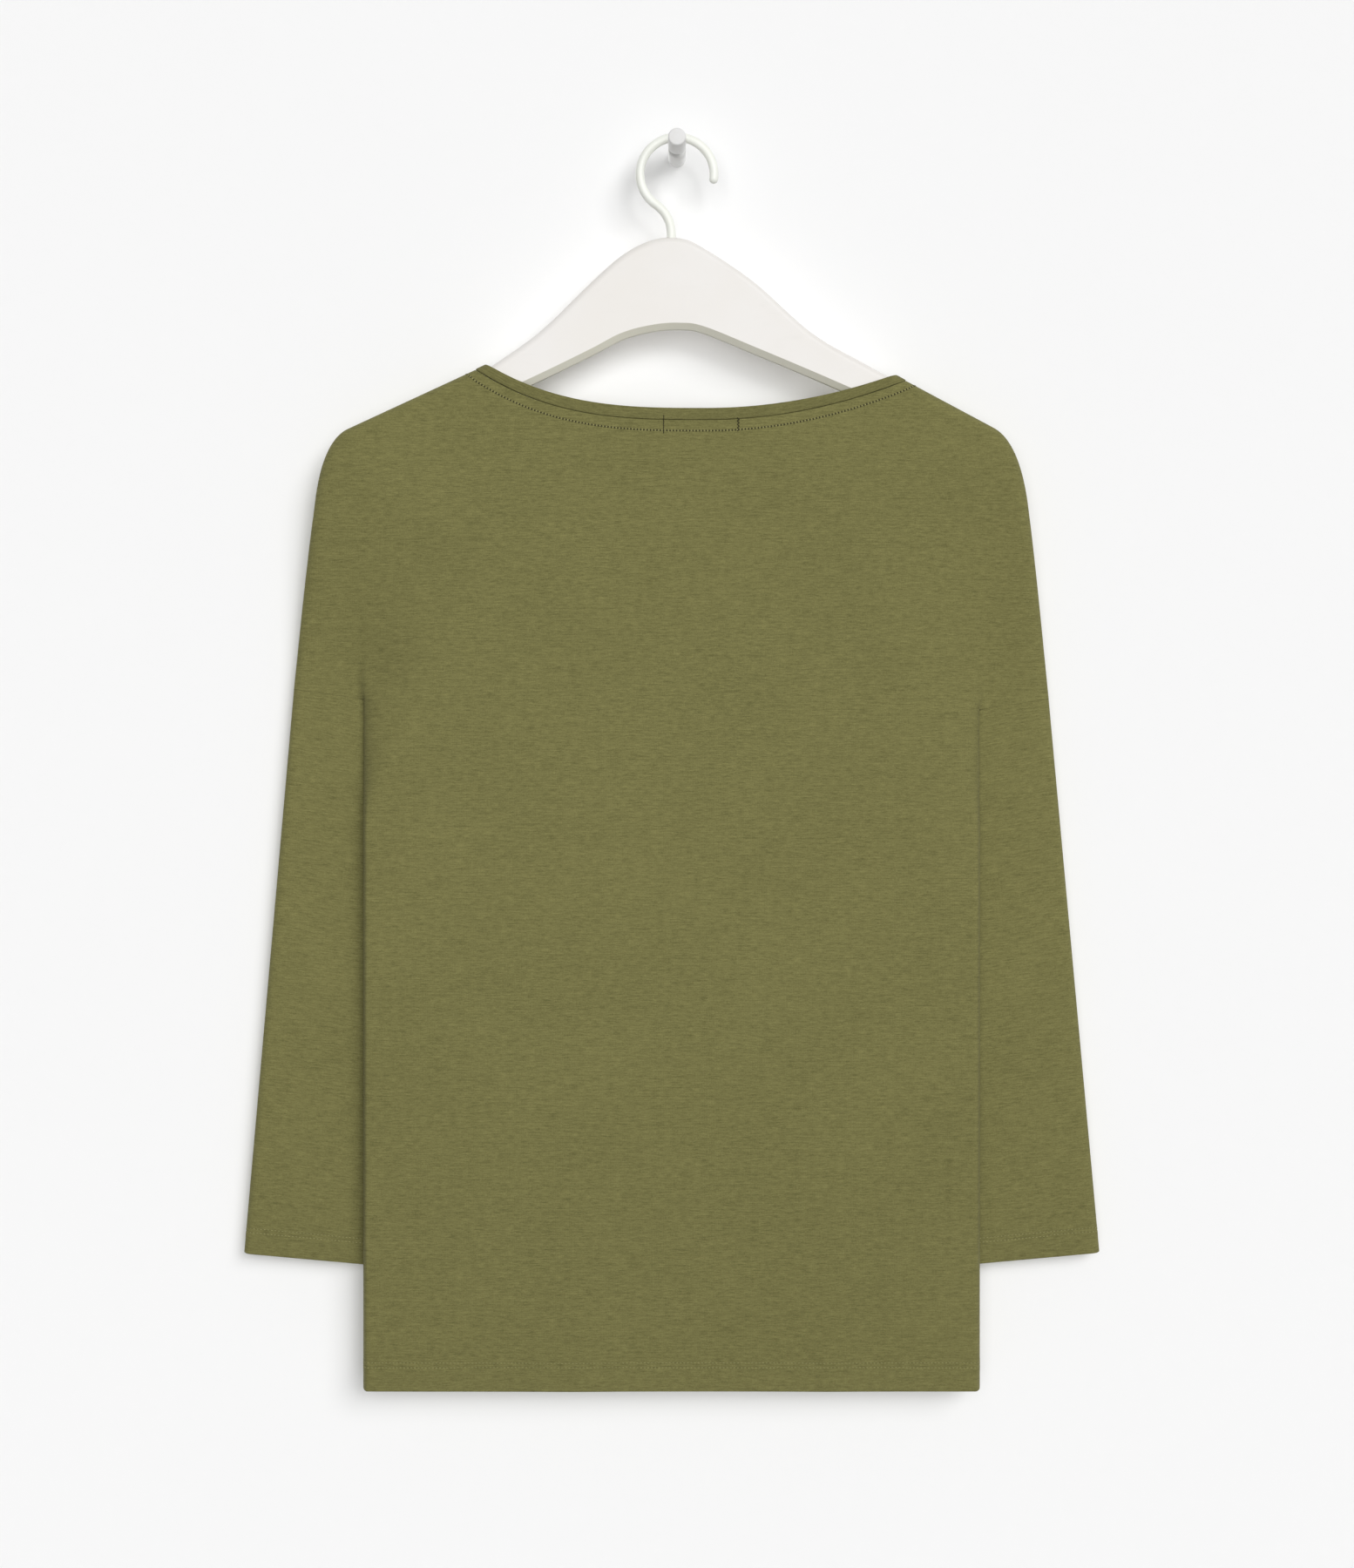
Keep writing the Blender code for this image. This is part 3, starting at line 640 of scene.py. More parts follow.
def rows_below():
    """The number of rows from the armhole row down to the top of the hem, with both."""
    return int((HEM_TOP + HEM_Z - ROW_MIDDLE_Z) / -CLOTH_STEP)


def half_panel(side, upper, lower, hem):
    """The upper and the lower stretch of a half panel as cloth. The last rows of the lower one are the
    hem's, where the flat cloth runs on past the edge."""
    hem_start = len(lower[0]) - len(hem)
    stretches = []
    for places, first_turned in ((upper, len(upper[0])), (lower, hem_start)):
        order = half_order(side, len(places))
        ordered = [places[i] for i in order]

        def grain(column, row):
            if row < first_turned:
                return ordered[column][row].z
            return hem_grain(HEM_Z, hem[row - first_turned])

        stretches.append(cloth_sheet(ordered, grain, order.index(0)))
    return stretches


# The back panel


def back_level(side, x, z, height):
    """The back panel's depth before its outer edge rounds off, at a height above the armhole row."""
    out = side.sign * (x - side.body_x)
    wide = limited(height / TURN_HEIGHT)
    turn = between(TURN_AT_ROW, TURN, eased(-height / TURN_SETTLES))
    start = between(-turn, -SLOPE_IN, wide)
    end = between(0.0, SLOPE_OUT, wide)
    share = limited((out - start) / (end - start))
    tight = 1.0 - eased(height / ROLL_HEIGHT)
    roll = 1.0 - math.sqrt(1.0 - share * share)
    step = between(eased(share), roll, 1.0 - eased(height / CRISP_HEIGHT))
    arm = ridge_y(z) - half_depth(z)
    lift = 1.0 - (1.0 - limited(out / LIFT_WIDTH)) ** 3
    goal = between(arm, between(TURN_END_Y, SLEEVE_CLEAR_Y, lift), tight)
    return between(BACK_Y, goal, step)


def back_distances(side):
    """Distances across the back half panel from its middle, and how many of them are on the body."""
    whole = side.sign * (side.armhole[0] - BODY_MIDDLE_X)
    body = side.sign * (side.body_x - BODY_MIDDLE_X)
    flat = stepped(0.0, body - TURN_AT_ROW, CLOTH_STEP)[:-1]
    flat += stepped(body - TURN_AT_ROW, body - TURN, CLOTH_STEP / 2.0)[:-1]
    roll = [body - TURN * (1.0 - math.sin(math.radians(a))) for a in ROLL_ANGLES]
    near = [body + out for out in ARM_STEPS]
    far = stepped(near[-1], whole - EDGE_STEPS[0], CLOTH_STEP)[1:-1]
    edge = [whole - step for step in EDGE_STEPS]
    return flat + roll + near + far + edge, len(flat + roll)


def back_upper(side, across, down, amount):
    x, z = panel_point(side, BACK_NECK_Z, side.back_power, across, down)
    height = max(z - row_z(side, x), 0.0) if down < 1.0 else 0.0
    level = back_level(side, x, z, height)
    aside = from_outline(side, x, z)
    full = rounded(aside, ROUNDING)
    calm = limited((down - NECK_CALM) / NECK_CALM_RUN) * limited((1.0 - down) / ROW_CALM_RUN)
    calm *= limited(aside / EDGE_CALM)
    level -= calm * wave(x, z, BACK_CREASES, BACK_SEED, amount)
    return Vector((x, between(ridge_y(z) - EDGE_GAP, level, full), z))


def back_lower(side, distance, top_z, z, inward, amount):
    """A point of the body's back below the armhole row, moved inwards for a turned hem."""

    whole = side.sign * (side.body_x - BODY_MIDDLE_X)

    def place(reach):
        x = BODY_MIDDLE_X + side.sign * reach
        calm = limited((top_z - z) / BELOW_ROW_CALM) * limited((whole - reach) / EDGE_CALM)
        level = back_level(side, x, z, z - top_z)
        return Vector((x, level - calm * wave(x, z, BACK_CREASES, BACK_SEED, amount)))

    if inward > 0.0:
        distance *= 1.0 - TURN_SHORT / whole * limited(inward / TURN_IN)
    here = place(distance)
    along = place(min(distance + SLOPE_STEP, whole)) - place(max(distance - SLOPE_STEP, 0.0))
    along.normalize()
    inside = Vector((-along.y, along.x)) * side.sign
    moved = here + inside * inward
    return Vector((moved.x, moved.y, z))


def back_sheet(top):
    stretches = []
    hem = hem_rows(top.hem_depth, top.hem_rows_apart)
    for side in SIDES:
        distances, body_count = back_distances(side)
        whole = distances[-1]
        upper = [
            [back_upper(side, d / whole, down, top.waves) for down in upper_shares()]
            for d in distances
        ]
        lower = []
        for number, d in enumerate(distances[:body_count]):
            top_z = upper[number][-1].z
            heights = spread(top_z, HEM_Z + HEM_TOP, rows_below())[:-1]
            column = [back_lower(side, d, top_z, z, 0.0, top.waves) for z in heights]
            column[0] = upper[number][-1].copy()
            for height, turned, relief in hem:
                z = HEM_Z + height
                column.append(back_lower(side, d, top_z, z, turned - relief, top.waves))
            lower.append(column)
        stretches += half_panel(side, upper, lower, hem)
    return joined(stretches)


# The front panel


# Shares across the front where it has no fold, with a row for each stretch of the folded section
Stretch = namedtuple("Stretch", "start end count")
EVEN_STRETCHES = (
    Stretch(0.0, 0.54, BODY_COUNT),
    Stretch(0.56, 0.62, len(NOSE_ANGLES)),
    Stretch(0.65, 0.74, PLY_COUNT),
    Stretch(0.76, 0.82, len(HEEL_ANGLES)),
    Stretch(0.83, 0.945, OUTER_COUNT),
)
EVEN_SHARES = [share for stretch in EVEN_STRETCHES for share in spread(*stretch)]
RAMP_START = 0.54
RAMP_END = 0.82
UNDERARM_COLUMN = BODY_COUNT + NOSE_ANGLES.index(0)
FOLD_COLUMNS = BODY_COUNT + len(NOSE_ANGLES) + PLY_COUNT + len(HEEL_ANGLES)


def folded_section(side, middle_x, edge_x, outer_y):
    """(x, y) across the front half panel at the armhole row: body, nose, ply, heel and upper arm."""
    nose_x = side.body_x - side.sign * (NOSE_IN_BODY + NOSE_RADIUS)
    ply_y = FRONT_Y + 2.0 * NOSE_RADIUS
    heel = max(min(HEEL_RADIUS, (outer_y - ply_y) / 2.0), LEAST_HEEL)
    heel_x = fold_in_x(side) + side.sign * heel
    heel_y = outer_y - 2.0 * heel
    points = [(between(middle_x, nose_x, share), FRONT_Y) for share in spread(0, 1, BODY_COUNT)]
    for angle in NOSE_ANGLES:
        turn = math.radians(angle)
        x = nose_x + side.sign * NOSE_RADIUS * math.cos(turn)
        points.append((x, FRONT_Y + NOSE_RADIUS * (1.0 + math.sin(turn))))
    for share in spread(0, 1, PLY_COUNT + 1)[1:]:
        points.append((between(nose_x, heel_x, share), between(ply_y, heel_y, share)))
    for angle in HEEL_ANGLES:
        turn = math.radians(angle)
        x = heel_x - side.sign * heel * math.sin(turn)
        points.append((x, heel_y + heel * (1.0 - math.cos(turn))))
    reach = edge_x - side.sign * EDGE_STEPS[0]
    for share in spread(0, 1, OUTER_COUNT + 2)[1:-1]:
        points.append((between(heel_x, reach, share), outer_y))
    for step in EDGE_STEPS:
        points.append((edge_x - side.sign * step, outer_y))
    return points


def even_section(side, middle_x, edge_x, outer_y):
    """(x, y) across the front half panel where it has no fold, with the same number of points."""
    points = []
    for share in EVEN_SHARES:
        ramp = eased((share - RAMP_START) / (RAMP_END - RAMP_START))
        points.append((between(middle_x, edge_x, share), between(FRONT_Y, outer_y, ramp)))
    whole = abs(side.armhole[0] - BODY_MIDDLE_X)
    for step in EDGE_STEPS:
        points.append((between(middle_x, edge_x, 1.0 - step / whole), outer_y))
    return points


def front_upper_column(side, down, amount):
    """All points across the front half panel at a share of the way down to the armhole row."""
    edge_x, edge_z = outline(side, down)
    middle_x = between(NECK_LOW_X, BODY_MIDDLE_X, down)
    outer_y = ridge_y(edge_z) + half_depth(edge_z)
    folded = folded_section(side, middle_x, edge_x, outer_y)
    even = even_section(side, middle_x, edge_x, outer_y)
    depth = 1.0 - eased((edge_z - side.armhole[1]) / FOLD_HEIGHT)
    points = []
    for column, (fold, open_point) in enumerate(zip(folded, even)):
        x = between(open_point[0], fold[0], depth)
        across = (x - middle_x) / (edge_x - middle_x)
        z = panel_point(side, FRONT_NECK_Z, side.front_power, across, down)[1]
        level = between(open_point[1], fold[1], depth)
        if column < BODY_COUNT or depth == 0.0:
            calm = limited((down - NECK_CALM) / NECK_CALM_RUN) * limited((1.0 - down) / ROW_CALM_RUN)
            near_middle = eased((z - ROW_MIDDLE_Z) / FOLD_HEIGHT)
            calm *= limited((1.0 - across) / SIDE_CALM_RUN)
            calm *= between(near_middle, 1.0 - depth, limited(across / MIDDLE_CALM_RUN))
            level += calm * wave(x, z, FRONT_CREASES, FRONT_SEED, amount)
        if column >= FOLD_COLUMNS or depth == 0.0:
            full = rounded(from_outline(side, x, z), ROUNDING)
            level = between(ridge_y(z) + EDGE_GAP, level, full)
        points.append(Vector((x, level, z)))
    return points


def front_sheet(top):
    stretches = []
    hem = hem_rows(top.hem_depth, top.hem_rows_apart)
    for side in SIDES:
        rows = [front_upper_column(side, down, top.waves) for down in upper_shares()]
        upper = [list(column) for column in zip(*rows)]
        edge_x = upper[UNDERARM_COLUMN][-1].x
        lower = []
        for column in upper[: UNDERARM_COLUMN + 1]:
            start = column[-1]
            stretch = [start.copy()]
            heights = spread(start.z, HEM_Z + HEM_TOP, rows_below())[1:-1]
            rest = [(z, 0.0) for z in heights] + [(HEM_Z + h, t - r) for h, t, r in hem]
            for z, inward in rest:
                short = TURN_SHORT * limited(inward / TURN_IN)
                whole = abs(edge_x - BODY_MIDDLE_X)
                x = BODY_MIDDLE_X + (start.x - BODY_MIDDLE_X) * (1.0 - short / whole)
                calm = limited((start.z - z) / BELOW_ROW_CALM) * limited(abs(edge_x - x) / EDGE_CALM)
                lift = calm * wave(x, z, FRONT_CREASES, FRONT_SEED, top.waves)
                stretch.append(Vector((x, FRONT_Y + lift - inward, z)))
            lower.append(stretch)
        stretches += half_panel(side, upper, lower, hem)
    return joined(stretches)


# The sleeves


def armhole_loop(side):
    """(x, depth, layer) round the armhole, from the outer edge along the back panel to the underarm,
    then along the front panel's fold and back out."""
    distances, body_count = back_distances(side)
    loop = []
    for distance in reversed(distances[body_count - 1 :]):
        x = BODY_MIDDLE_X + side.sign * distance
        loop.append((x, back_level(side, x, side.armhole[1], 0.0), -1))
    front = folded_section(side, BODY_MIDDLE_X, side.armhole[0], ARM_Y + ARM_HALF)
    heel_tip = BODY_COUNT + len(NOSE_ANGLES) + PLY_COUNT + HEEL_ANGLES.index(90)
    for number, (x, level) in enumerate(front[:-1]):
        if number >= UNDERARM_COLUMN:
            loop.append((x, level, -1 if number < heel_tip else 1))
    return loop


def sleeve_point(side, spot, down, amount):
    """A point of the sleeve under a spot of the armhole loop, from the seam (0) to the cuff (1)."""
    x_top, level, layer = spot
    share = abs(side.armhole[0] - x_top) / SLEEVE_WIDTH
    edge_x = between(side.armhole[0], side.cuff[0], down)
    edge_z = between(side.armhole[1] - SLEEVE_SEAM_GAP, side.cuff[1], down)
    width = between(SLEEVE_WIDTH, CUFF_WIDTH, down)
    reach = share * width
    x = edge_x - side.sign * reach
    ease = INNER_EASE * share**INNER_EASE_POWER * (1.0 - down)
    z = edge_z - ease - between(side.row_slope, CUFF_SLOPE, down) * reach
    middle_y = between(ARM_Y, CUFF_Y, down)
    half = between(ARM_HALF, CUFF_HALF, down)
    full = rounded(min(reach, width - reach), SLEEVE_ROUNDING)
    calm = limited((down - SLEEVE_CALM_START) / SLEEVE_CALM_RUN) * full
    calm *= limited(reach / SLEEVE_CALM) * limited((width - reach) / SLEEVE_CALM)
    seed = SLEEVE_SEED + layer + side.sign * SLEEVE_SEED_STEP
    swell = calm * SLEEVE_WAVE_SHARE * wave(x, z, (), seed, amount)
    even_y = middle_y + layer * half * full + swell
    if layer < 0 and reach > ROUNDING:
        level = max(level, SLEEVE_CLEAR_Y)
    edge = rounded(reach, ROUNDING) if reach < ROUNDING else 1.0
    top_y = between(ARM_Y, level, edge)
    return Vector((x, between(top_y, even_y, eased(down / SLEEVE_SETTLES)), z))


def sleeve_sheet(side, top):
    """A flattened tube from the armhole seam down to a cuff that is turned up inside."""
    loop = armhole_loop(side)
    length = abs(side.cuff[1] - side.armhole[1])
    hem = hem_rows(top.cuff_depth, top.cuff_rows_apart)
    first = 1.0 - HEM_TOP / length
    plain = [0.0, SLOPE_STEP / length, *SLEEVE_TOP_SHARES]
    plain += stepped(SLEEVE_EVEN_START, first, SLEEVE_EVEN_STEP)[:-1]
    rows = [(-SEAM_ALLOWANCE / length, SEAM_TUCK)]
    rows += [(down, 0.0) for down in plain]
    rows += [(1.0 - height / length, turned - relief) for height, turned, relief in hem]
    places = []
    for column in range(len(loop)):
        stretch = []
        for down, inward in rows:
            here = sleeve_point(side, loop[column], down, top.waves)
            if inward != 0.0:
                before = sleeve_point(side, loop[column - 1], down, top.waves)
                after = sleeve_point(side, loop[(column + 1) % len(loop)], down, top.waves)
                along = (after - before).xy.normalized()
                inside = Vector((along.y, -along.x, 0.0)) * side.sign
                here += inside * inward
            stretch.append(here)
        places.append(stretch)
    places.append([point.copy() for point in places[0]])

    def grain(column, row):
        if row > len(plain):
            return hem_grain(-length, hem[row - len(plain) - 1])
        return -rows[row][0] * length

    return cloth_sheet(places, grain)


# The neckband


def band_ring(count):
    """(side, share to the shoulder, layer) round the neck: across the back, then across the front."""
    left, right = SIDES
    shares = spread(0.0, BAND_EVEN_END, count) + list(BAND_FINE_SHARES)
    out = [(right, share) for share in shares]
    back = [(left, share) for share in shares[:0:-1]] + out[:-1]
    front = [(side, share, 1) for side, share in reversed(back[1:])]
    return [(side, share, -1) for side, share in back] + [(right, 1.0, 1)] + front


def band_point(side, share, layer, width):
    """A point of the band's middle surface, with width from 0 at its top edge to 1 at its seam."""
    low_z = BACK_NECK_Z if layer < 0 else FRONT_NECK_Z
    power = side.back_power if layer < 0 else side.front_power
    foot = down_shoulder(side, BAND_WIDTH)
    end_x = between(side.neck[0], foot[0], width)
    end_z = between(side.neck[1], foot[1], width)
    x = between(NECK_LOW_X, end_x, share)
    z = neck_z(low_z - BAND_WIDTH * width, end_z, power, share)
    return Vector((x, layer * SHOULDER_HALF * rounded(from_outline(side, x, z), ROUNDING), z))


def band_sheet(wall):
    """A strip folded along the neck edge, with its two layers just apart."""
    ring = band_ring(BAND_COUNT)
    half = wall * BAND_HALF_SHARE
    section = [(fold.width, half * fold.depth) for fold in BAND_FOOT]
    section += [(width, half) for width in BAND_WIDTHS]
    for angle in BAND_FOLD_ANGLES:
        turn = math.radians(angle)
        section.append((BAND_FOLD_WIDTH * (1.0 - math.sin(turn)), half * math.cos(turn)))
    section += [(width, -offset) for width, offset in section[-2::-1]]
    section.append((BAND_INNER_FOOT.width, -half * BAND_INNER_FOOT.depth))
    tops = [band_point(*spot, 0.0) for spot in ring]
    feet = [band_point(*spot, 1.0) for spot in ring]
    places = []
    for number in range(len(ring)):
        after = (number + 1) % len(ring)
        middle_before = (tops[number - 1] + feet[number - 1]) / 2.0
        along = (tops[after] + feet[after]) / 2.0 - middle_before
        rise = tops[number] - feet[number]
        out = along.cross(rise).normalized()
        stretch = []
        for width, offset in section:
            middle = between(tops[number], feet[number], width)
            stretch.append(middle + out * offset)
        places.append(stretch)
    places.append([point.copy() for point in places[0]])
    lengths = [0.0]
    for (width, offset), (next_width, next_offset) in zip(section, section[1:]):
        lengths.append(
            lengths[-1] + math.hypot((next_width - width) * BAND_WIDTH, next_offset - offset)
        )
    return cloth_sheet(places, lambda column, row: -lengths[row])


# Stitches


def stitch(work, place, along, out, length, width, height):
    """One stitch lying on the cloth: a small lozenge of thread."""
    aside = out.cross(along).normalized()
    turned = Matrix((along * length / 2.0, aside * width / 2.0, out * height / 2.0)).transposed()
    bmesh.ops.create_icosphere(
        work, subdivisions=1, radius=1.0, matrix=Matrix.Translation(place) @ turned.to_4x4()
    )


def walked(points, pitch, closed=False):
    """(place, direction) every pitch along a run of points."""
    if closed:
        points = points + [points[0]]
    total = sum((b - a).length for a, b in zip(points, points[1:]))
    count = max(int(total / pitch), 1)
    exact = total / count
    spots = []
    done = 0.0
    target = exact / 2.0
    for a, b in zip(points, points[1:]):
        run = (b - a).length
        while run > 0.0 and target <= done + run and len(spots) < count:
            spots.append((a.lerp(b, (target - done) / run), (b - a) / run))
            target += exact
        done += run
    return spots


def cloth_tree(name):
    """A search tree of a cloth piece's middle surface."""
    mesh = bpy.data.objects[name].data
    corners = [vertex.co for vertex in mesh.vertices]
    return BVHTree.FromPolygons(corners, [tuple(face.vertices) for face in mesh.polygons])


def settled(tree, place, out, wall):
    """The nearest place on the cloth's outer face and the direction that points away from it."""
    spot, normal = tree.find_nearest(place + out * SEARCH_LIFT)[:2]
    if spot is None:
        raise RuntimeError("no cloth was found under a stitch")
    if normal.dot(out) < 0.0:
        normal = -normal
    return spot + normal * wall, normal


def sew_row(work, points, pitch, tree, outward, wall, size, closed=False, holes=None):
    """A row of stitches along points, each laid on the cloth's outer face, and dark lozenges of painted
    shade between them, where the cloth dips at the needle holes.
    """
    for place, along in walked(points, pitch, closed):
        spot, out = settled(tree, place, outward(place, along), wall)
        along = (along - out * out.dot(along)).normalized()
        stitch(work, spot, along, out, pitch * STITCH_LENGTH_SHARE, size, size * STITCH_HEIGHT_SHARE)
        if holes is not None:
            gap = spot + along * pitch * 0.5
            width, height = size * HOLE_WIDTH_SHARE, size * HOLE_HEIGHT_SHARE
            stitch(holes, gap, along, out, pitch * HOLE_LENGTH_SHARE, width, height)


def away_from(middle):
    """A function that gives the outward direction of an upright wall of cloth round a middle point."""

    def out(place, along):
        aside = Vector((along.y, -along.x, 0.0)).normalized()
        return aside if aside.dot(place - middle) > 0.0 else -aside

    return out


def hem_runs(height, waves):
    """Where a row of the hem's stitches runs, across the back and across the front."""
    z = HEM_Z + height
    halves = {}
    for side in SIDES:
        distances, body_count = back_distances(side)
        halves[side.name] = [
            back_lower(side, distance, z + 1.0, z, -HEM_DIP, waves)
            for distance in distances[:body_count]
        ]
    left, right = SIDES
    edge = NOSE_IN_BODY + NOSE_RADIUS
    front = [
        Vector((x, FRONT_Y, z)) for x in stepped(right.body_x - edge, left.body_x + edge, CLOTH_STEP)
    ]
    return {"back": halves["left"][:0:-1] + halves["right"], "front": front}


def neck_run(layer, drop, wall):
    """Where the row of stitches under the neckband runs, across the back (-1) or the front (1)."""
    low_z = BACK_NECK_Z if layer < 0 else FRONT_NECK_Z
    run = []
    for side in SIDES:
        power = side.back_power if layer < 0 else side.front_power
        foot = down_shoulder(side, BAND_WIDTH + BAND_FOOT_GAP + drop)
        start_z = low_z - BAND_WIDTH - SEAM_GAP - drop
        half = []
        for share in spread(0.0, 1.0, NECK_ROW_POINTS):
            x = between(NECK_LOW_X, foot[0], share)
            z = neck_z(start_z, foot[1], power, share)
            y = layer * (SHOULDER_HALF * rounded(from_outline(side, x, z), ROUNDING) + wall)
            half.append(Vector((x, y, z)))
        run += half[::-1] if side.sign < 0 else half[1:]
    return run


def over_shoulders(layer):
    """A function that gives a panel's outward direction, which leans upwards near the shoulder line."""

    def out(place, along):
        side = SIDES[0] if place.x < NECK_LOW_X else SIDES[1]
        lean = 1.0 - limited(from_outline(side, place.x, place.z) / ROUNDING)
        return Vector((0.0, layer, 0.0)).lerp(Vector((0.0, 0.0, 1.0)), lean).normalized()

    return out


def sew_tack(work, tack, wall):
    """A tack as a short zigzag of stitches down the back panel."""
    spots = []
    for step in range(TACK_STEPS + 1):
        x = tack.x + (tack.swing if step % 2 else -tack.swing)
        y = BACK_Y - wall - (TACK_HIGH if step < TACK_HIGH_STEPS else TACK_LOW)
        spots.append(Vector((x, y, between(tack.top_z, tack.low_z, step / TACK_STEPS))))
    for a, b in zip(spots, spots[1:]):
        along = (b - a).normalized()
        out = Vector((0.0, -1.0, 0.0))
        out = (out - along * out.dot(along)).normalized()
        length = (b - a).length * TACK_OVERLAP
        stitch(work, (a + b) / 2.0, along, out, length, TACK_WIDTH, TACK_HEIGHT)


# Materials


def group_sockets(group, inputs, outputs):
    for name, kind, value in inputs:
        socket = group.interface.new_socket(name=name, in_out="INPUT", socket_type=kind)
        if value is not None:
            socket.default_value = value
    for name, kind in outputs:
        group.interface.new_socket(name=name, in_out="OUTPUT", socket_type=kind)


class Nodes:
    """Short calls to add and join the nodes of one tree."""

    def __init__(self, tree):
        self.tree = tree

    def add(self, kind, **settings):
        node = self.tree.nodes.new(kind)
        for name, value in settings.items():
            setattr(node, name, value)
        return node

    def join(self, source, target):
        self.tree.links.new(source, target)

    def put(self, socket, value):
        if isinstance(value, bpy.types.NodeSocket):
            self.join(value, socket)
        else:
            socket.default_value = value

    def math(self, operation, a, b=None, c=None):
        node = self.add("ShaderNodeMath", operation=operation)
        for number, value in enumerate((a, b, c)):
            if value is not None:
                self.put(node.inputs[number], value)
        return node.outputs[0]

    def scaled(self, vector, amount):
        node = self.add("ShaderNodeVectorMath", operation="MULTIPLY")
        self.join(vector, node.inputs[0])
        self.put(node.inputs[1], amount)
        return node.outputs[0]

    def noise(self, vector, scale, detail, roughness=0.5, dimensions="3D"):
        node = self.add("ShaderNodeTexNoise", noise_dimensions=dimensions)
        self.join(vector, node.inputs["Vector"])
        self.put(node.inputs["Scale"], scale)
        node.inputs["Detail"].default_value = detail
        node.inputs["Roughness"].default_value = roughness
        return node.outputs["Fac"]

    def remap(self, value, low, high, to_low, to_high):
        node = self.add("ShaderNodeMapRange")
        self.join(value, node.inputs["Value"])
        for name, number in (
            ("From Min", low),
            ("From Max", high),
            ("To Min", to_low),
            ("To Max", to_high),
        ):
            self.put(node.inputs[name], number)
        return node.outputs["Result"]

    def mix(self, share, a, b, blend="MIX"):
        node = self.add("ShaderNodeMix", data_type="RGBA", blend_type=blend)
        self.put(node.inputs["Factor"], share)
        self.put(node.inputs["A"], a)
        self.put(node.inputs["B"], b)
        return node.outputs["Result"]


def new_material(name):
    """A new material, its node calls and its shader."""
    material = bpy.data.materials.new(name)
    material.use_nodes = True
    return material, Nodes(material.node_tree), material.node_tree.nodes["Principled BSDF"]


def add_bump(n, shader, height, strength, distance):
    bump = n.add("ShaderNodeBump")
    bump.inputs["Strength"].default_value = strength
    bump.inputs["Distance"].default_value = distance
    n.join(height, bump.inputs["Height"])
    n.join(bump.outputs[0], shader.inputs["Normal"])


def toned(colour, *shares):
    """The colour with each channel multiplied, by one share or by a share for each channel."""
    if len(shares) == 1:
        shares *= 3
    return (*(min(channel * share, 1.0) for channel, share in zip(colour, shares)), 1.0)


def slub_group():
    """Fine jersey: thick and thin yarn as short streaks across, light mottling and knitted loops."""
    if "slub_jersey" in bpy.data.node_groups:
        return bpy.data.node_groups["slub_jersey"]
    group = bpy.data.node_groups.new("slub_jersey", "ShaderNodeTree")
    group_sockets(
        group,
        [
            ("Cloth", "NodeSocketVector", None),
            ("Streak Length", "NodeSocketFloat", 0.011),
            ("Streak Height", "NodeSocketFloat", STREAK_HEIGHT),
            ("Loop Width", "NodeSocketFloat", 0.0011),
            ("Loop Height", "NodeSocketFloat", 0.0008),
        ],
        [("Shade", "NodeSocketFloat"), ("Height", "NodeSocketFloat")],
    )
    n = Nodes(group)
    given = n.add("NodeGroupInput").outputs
    put = n.add("NodeGroupOutput").inputs
    apart = n.add("ShaderNodeSeparateXYZ")
    n.join(given["Cloth"], apart.inputs[0])
    across, down = apart.outputs[0], apart.outputs[1]

    def streaks(length_share, height_share, seed):
        place = n.add("ShaderNodeCombineXYZ")
        length = n.math("MULTIPLY", given["Streak Length"], length_share)
        height = n.math("MULTIPLY", given["Streak Height"], height_share)
        n.join(n.math("DIVIDE", across, length), place.inputs[0])
        n.join(n.math("DIVIDE", down, height), place.inputs[1])
        place.inputs[2].default_value = seed
        return n.noise(place.outputs[0], 1.0, 1.0, 0.5)

    specks = streaks(0.10, 0.8, 13.0)
    short = streaks(0.42, 1.0, 0.0)
    long = streaks(1.3, 1.4, 4.0)
    bands = streaks(9.0, 5.0, 9.0)
    mottle = n.noise(given["Cloth"], 160.0, 3.0, 0.6)
    cloudy = n.noise(given["Cloth"], 14.0, 2.0, 0.5)
    total = n.math("MULTIPLY", short, 0.30)
    for value, share in ((specks, 0.27), (long, 0.20), (bands, 0.05), (mottle, 0.12), (cloudy, 0.06)):
        total = n.math("MULTIPLY_ADD", value, share, total)
    n.join(n.remap(total, 0.38, 0.62, 0.0, 1.0), put["Shade"])

    wale = n.math("DIVIDE", across, given["Loop Width"])
    course = n.math("DIVIDE", down, given["Loop Height"])
    leg = n.math("ABSOLUTE", n.math("SINE", n.math("MULTIPLY", wale, math.pi)))
    chevron = n.math("MULTIPLY_ADD", leg, 0.55, course)
    loop = n.math("SINE", n.math("MULTIPLY", chevron, math.tau))
    loops = n.math("MULTIPLY_ADD", loop, 0.32, n.math("MULTIPLY", leg, 0.34))
    n.join(n.math("MULTIPLY_ADD", short, 0.55, loops), put["Height"])
    return group


